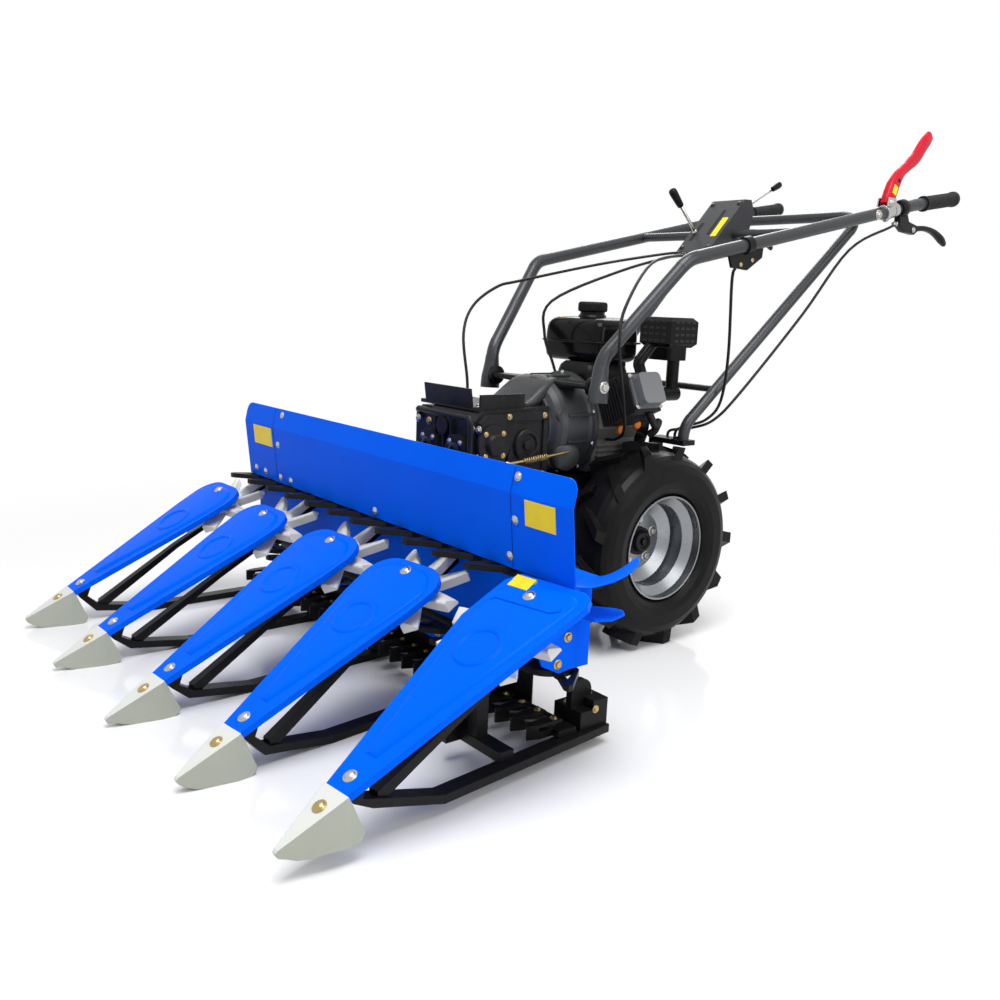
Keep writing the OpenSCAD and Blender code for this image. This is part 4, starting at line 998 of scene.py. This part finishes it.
def bar(x, side=1):
    """A point on the upper run of a handlebar, and the direction along it."""
    point = BAR_FRONT.lerp(BAR_BACK, (x - BAR_FRONT.x) / (BAR_BACK.x - BAR_FRONT.x))
    along = (BAR_BACK - BAR_FRONT).normalized()
    return at(point.x, side * point.y, point.z), Vector((along.x, side * along.y, along.z))


def over_crank(path, side):
    return [at(x, side * y, CRANK_Z + z) for x, y, z in path]


def bar_fittings():
    clamps = Piece("bar_clamps", "bare_steel", ZINC)
    for x, side in BAR_CLAMPS:
        foot, along = bar(x, side)
        clamps.lathe(foot, along, [(15, -9), (18, -8), (18.6, 0), (18, 8), (15, 9)], sides=28)
        clamps.bolt(foot + UP * 0.018, UP, 5)
    clamps.done()
    for side, _ in SIDES:
        zinc.bolt(at(192, side * 203, CRANK_Z + 100), (0, side, 0), 9)
        zinc.bolt(bar(-660, side)[0] + Vector((0, side * 0.0145, 0)), (0, side, 0), 8)
        x, y = LOOP_FEET[side]
        dark.bolt(at(x, side * y, 2 * WHEEL_R + 4), UP, 7)


def bar_bracket():
    """The straps that carry the bars on the bell, and the flattened feet of the bars."""
    straps = Piece("bracket_straps", "black_steel")
    feet = Piece("flattened_bar_feet", "tube_grey")
    for side, _ in SIDES:
        straps.sweep(over_crank(STRAP_PATH, side), UP, (27, 27, 26, 22, 18), (8, 8, 7, 6, 6), 0.3)
        straps.lathe(at(192, side * 163.5, CRANK_Z + 98), (0, side, 0), STRAP_BOSS, sides=32)
        feet.sweep(smooth(over_crank(FOOT_PATH, side)), LEFT, (26, 26, 25, 21, 17.5, 15.2),
                   (15.6, 15.6, 15.6, 15.4, 15.3, 15.2), 0.9)
    straps.done("handle_bracket")
    feet.done()
    for x, z in QUADRANT_BOLTS:
        brass.bolt(at(x, 259.6, z), LEFT, 3.5)


# Clutch lever: a red moulding on a clamp, with a blank sticker

LEVER_Y = 272
# x and z of the lever's middle line, and of its end
LEVER_PATH = ((-710, 1058), (-721, 1082), (-735, 1112), (-759, 1142), (-794, 1166), (-826, 1189),
              (-852, 1219), (-878, 1246))
LEVER_END = (-882, 1250)
LEVER_HALF = (16, 19, 20, 19, 16, 12.5, 13, 15.5, 16, 16, 16, 13.5)
LEVER_THICK = (12, 12, 12, 12, 11, 10, 10, 10, 10, 10, 10, 8)
LEVER_LABEL = ((-731, 1083), (-739, 1104), (-722, 1111), (-714, 1090))
# Corners of the clamp's ears from the bar's middle, in metres
EAR_CORNERS = ((-0.02, 0.012), (-0.014, 0.034), (0.018, 0.034), (0.022, 0.012))


def clutch_lever():
    lever = Piece("curved_clutch_lever", "red_paint")
    path = smooth([at(x, LEVER_Y, z) for x, z in LEVER_PATH])
    lever.sweep(path + [at(LEVER_END[0], LEVER_Y, LEVER_END[1])], LEFT, LEVER_HALF, LEVER_THICK)
    lever.done("clutch_lever")
    labels.slab([at(x, 283, z) for x, z in LEVER_LABEL], LEFT, 1.6, 0.4)
    dark.dome(at(-742, 283.2, 1122), LEFT, 4)


def lever_clamp():
    pivot = Piece("lever_clamp", "bare_steel", ZINC)
    foot, along = bar(-716)
    pivot.lathe(foot, along, [(15, -17), (19, -16), (19.6, -8), (19.6, 8), (19, 16), (15, 17)], sides=30)
    pivot.slab([foot + Vector((x, -0.014, z)) for x, z in EAR_CORNERS[::-1]], (0, -1, 0), 3, 0.8)
    pivot.slab([foot + Vector((x, 0.013, z)) for x, z in EAR_CORNERS], LEFT, 3, 0.8)
    pivot.bolt(foot + Vector((0.004, 0.016, 0.022)), LEFT, 6)
    pivot.bolt(foot + Vector((0.0, 0.0, -0.0195)), (0, 0, -1), 6)
    pivot.done()


# Gear levers: bright rods with bulb knobs

# Radius, and share of the knob's height
KNOB_PROFILE = ((6, -0.02), (8, 0.02), (9, 0.2), (10, 0.55), (10.6, 0.8), (9.8, 0.91), (7.4, 0.97), (2, 1.0))


def gear_lever(rods, knobs, foot, direction, length, knob):
    rods.lathe(foot, direction, [(4.4, -12), (4.4, length - knob + 6), (3, length - knob + 8)], sides=16)
    rods.lathe(foot, direction, [(7.5, -3), (7.5, 5), (6, 8)], sides=6)
    knobs.lathe(foot, direction, [(r, length - knob * (1 - h)) for r, h in KNOB_PROFILE], sides=28)


def gear_levers():
    """One lever in the console, and one on a collar on the right bar."""
    rods = Piece("gear_lever_rods", "bare_steel", CHROME)
    knobs = Piece("gear_lever_knobs", "black_plastic")
    gear_lever(rods, knobs, at(-330, -25, 970.6), (135, 0, 128), 142, 54)
    foot, along = bar(-818, -1)
    rods.lathe(foot, along, [(15, -8), (19, -7), (19.6, 0), (19, 7), (15, 8)], sides=28)
    gear_lever(rods, knobs, foot + UP * 0.014, (-205, -13, 101), 229, 44)
    rods.done("gear_levers")
    knobs.done()


# Brake levers: collar, perch and a hooked blade with a round end

PERCH_Y = 275
# x and height over the bar
PERCH = ((-766, -12), (-766, -44), (-790, -58), (-846, -62), (-862, -52), (-852, -38), (-812, -30),
         (-800, -12))
# x, y and height over the bar
BLADE = ((-826, 276, -50), (-860, 277, -45), (-900, 279, -42), (-940, 281, -47), (-975, 283, -60),
         (-1004, 285, -77))
BLADE_HALF, BLADE_THICK = (8, 8, 7, 6.5, 7, 8.5, 9, 6), (8, 9, 9, 8.5, 8, 8, 9, 5)
CABLE_SCREW = [(6, -1), (6, 5), (4.8, 6), (4.8, 18), (4, 19)]


def brake_lever(brakes, side):
    foot, along = bar(-780, side)
    brakes.lathe(foot, along, [(15, -15), (20, -14), (22.5, -10), (22.5, 10), (20, 14), (15, 15)], sides=32)
    z = foot.z * 1000
    perch = [at(x, side * PERCH_Y, z + up) for x, up in PERCH][::-side]
    brakes.slab(perch[::-1], (0, -side, 0), 9, 2.5)
    brakes.slab(perch, (0, side, 0), 9, 2.5)
    path = smooth([at(x, side * y, z + up) for x, y, up in BLADE], 6)
    brakes.sweep(path, LEFT, BLADE_HALF, BLADE_THICK)
    zinc.lathe(at(-767, side * PERCH_Y, z - 40), FRONT, CABLE_SCREW, sides=12)
    zinc.bolt(at(-836, side * 284, z - 50), (0, side, 0), 5)


def brake_levers():
    brakes = Piece("hooked_brake_levers", "black_plastic")
    for side, _ in SIDES:
        brake_lever(brakes, side)
    brakes.done("brake_levers")


# Grips

GRIP_TIP = (-1022, 285, 1102)
GRIP_RIBS, RIB_PITCH = 18, 7


def ribbed_grip(side, name):
    grip = Piece("ribbed_grip_" + name, "grip_rubber")
    x, y, z = GRIP_TIP
    tip = Vector((x, side * y, z))
    along = (tip - Vector((BAR_BACK.x, side * BAR_BACK.y, BAR_BACK.z))).normalized()
    profile = [(15.2, -146), (20.5, -146), (20.5, -140)]
    for i in range(GRIP_RIBS):
        h = -137 + RIB_PITCH * i
        profile += [(17.2, h), (18.6, h + 1.5), (18.6, h + 4.5), (17.2, h + 6)]
    profile += [(20.5, -9), (20.5, 0), (18, 4), (4, 4)]
    grip.lathe(at(*tip), along, profile, sides=28)
    grip.done("grip_" + name)


# Console: slots as thin patches of painted shade, blank sticker and screws on the sloping top

CONSOLE_FRONT, CONSOLE_REAR = Vector((-284, 0, 922)), Vector((-412, 0, 1057))
CONSOLE_ALONG = (CONSOLE_REAR - CONSOLE_FRONT).normalized()
CONSOLE_OUT = Vector((CONSOLE_ALONG.z, 0, -CONSOLE_ALONG.x))
# Range along the top and range of y
CONSOLE_SLOTS = ((40, 104, -30, -20), (60, 150, 14, 22))
CONSOLE_LABEL = (52, 120, 30, 48)
CONSOLE_SCREWS = ((14, -36), (14, 49), (172, -36), (172, 49))


def on_console(s, y):
    return at(*(CONSOLE_FRONT + CONSOLE_ALONG * s + Vector((0, y, 0))))


def console_patch(s0, s1, y0, y1):
    return [on_console(s, y) for y, s in rectangle(y0, y1, s0, s1)]


def console_fittings():
    # The slots are thin near-black patches: painted shade where the openings are.
    slots = Piece("console_slots", "black_steel", SLOT_SHADE)
    for place in CONSOLE_SLOTS:
        slots.slab(console_patch(*place), CONSOLE_OUT, 0.7, 0.3)
    slots.done()
    labels.slab(console_patch(*CONSOLE_LABEL), CONSOLE_OUT, 0.8, 0.4)
    for s, y in CONSOLE_SCREWS:
        dark.dome(on_console(s, y), CONSOLE_OUT, 5)


# Stage, in metres

# The camera of the photograph, solved from the wheels, the board and the divider tips
CAMERA_PLACE = at(1660.656, 1683.389, 769.495)
CAMERA_RIGHT = Vector((-0.7824159, 0.6215224, 0.0391815))
CAMERA_FORWARD = Vector((-0.6157824, -0.7627322, -0.1976146))
SENSOR_MM, LENS_MM = 36.0, 34.813
FLOOR_HALF = 60.0
# Where the floor starts to run into the backdrop, and where it has
FLOOR_FADE = (1.0, 2.4)
WORLD_LIGHT, BACKDROP = 0.45, 1.0
# Name, place, target, size, power in watts
LAMPS = (
    ("key", (1.0, 1.1, 3.7), (0.2, 0.1, 0.4), 2.2, 132),
    ("fill", (-0.5, 3.2, 1.8), (-0.1, 0.0, 0.5), 2.0, 35),
    ("rim", (-2.2, -1.8, 2.6), (0.0, 0.0, 0.6), 1.6, 40),
)


def camera():
    data = bpy.data.cameras.new("camera")
    data.sensor_width = SENSOR_MM
    data.lens = LENS_MM
    data.clip_end = 100.0
    made = placed("camera", data)
    axes = Matrix((CAMERA_RIGHT, CAMERA_RIGHT.cross(CAMERA_FORWARD), -CAMERA_FORWARD)).transposed().to_4x4()
    made.matrix_world = Matrix.Translation(CAMERA_PLACE) @ axes
    bpy.context.scene.camera = made


def shows_backdrop(tree):
    """1 for the rays that see the white backdrop: from the camera, in gloss and through glass."""
    rays = tree.nodes.new("ShaderNodeLightPath").outputs
    seen = sums(tree, "MAXIMUM", rays["Is Camera Ray"], rays["Is Glossy Ray"])
    return sums(tree, "MAXIMUM", seen, rays["Is Transmission Ray"])


def floor_look():
    """White that takes shadow near the object and glows like the backdrop far from it."""
    look = material("floor_white", (0.86, 0.86, 0.86), 0.12, tone=0.01, tone_scale=0.5, rough_spread=0.03,
                    bump=0.0, soft=0.0)
    tree = look.node_tree
    away = node(tree, "ShaderNodeVectorMath", operation="LENGTH")
    tree.links.new(tree.nodes["Texture Coordinate"].outputs["Object"], away.inputs[0])
    far = ranged(tree, away.outputs["Value"], *FLOOR_FADE, 0.0, 1.0, "SMOOTHSTEP")
    glow = node(tree, "ShaderNodeEmission", Strength=BACKDROP)
    mix = tree.nodes.new("ShaderNodeMixShader")
    tree.links.new(sums(tree, "MULTIPLY", far, shows_backdrop(tree)), mix.inputs["Fac"])
    tree.links.new(tree.nodes["Principled BSDF"].outputs["BSDF"], mix.inputs[1])
    tree.links.new(glow.outputs["Emission"], mix.inputs[2])
    tree.links.new(mix.outputs["Shader"], tree.nodes["Material Output"].inputs["Surface"])
    return look


def floor():
    size = FLOOR_HALF
    data = bpy.data.meshes.new("floor")
    corners = [(-size, -size, 0), (size, -size, 0), (size, size, 0), (-size, size, 0)]
    data.from_pydata(corners, [], [(0, 1, 2, 3)])
    data.materials.append(floor_look())
    made = placed("floor", data)


def lamp(name, place, target, size, power):
    data = bpy.data.lights.new(name, "AREA")
    data.size = size
    data.energy = power
    made = placed(name, data)
    made.location = place
    made.rotation_euler = (Vector(target) - Vector(place)).to_track_quat("-Z", "Y").to_euler()


def light():
    """Soft lamps in a world that lights the object less than it shows white."""
    world = bpy.data.worlds.new("studio")
    world.use_nodes = True
    bpy.context.scene.world = world
    tree = world.node_tree
    back = tree.nodes["Background"]
    back.inputs["Color"].default_value = (1.0, 1.0, 1.0, 1.0)
    strength = ranged(tree, shows_backdrop(tree), 0.0, 1.0, WORLD_LIGHT, BACKDROP)
    tree.links.new(strength, back.inputs["Strength"])
    for row in LAMPS:
        lamp(*row)


# The object

divider_details()
board_fittings()
for name in DIVIDERS:
    star_wheel(name)
board_seams()
chain_links()
header_bolts()
crop_guides()
for side, name in SIDES:
    wheel_fittings(side, name)
oil_caps()
housing_bolts()
gearbox_casting()
bell_shoulder()
engine_cowl()
bell_ribs()
recoil_vanes()
fuel_cap()
fuel_tank()
muffler_slots()
head_bolts()
shift_rod()
breather_elbow()
bar_fittings()
bar_bracket()
clutch_lever()
lever_clamp()
gear_levers()
brake_levers()
for side, name in SIDES:
    ribbed_grip(side, name)
console_fittings()
for fittings in (zinc, brass, dark, labels):
    fittings.done()

camera()
floor()
light()
bpy.context.scene.view_settings.view_transform = "Standard"
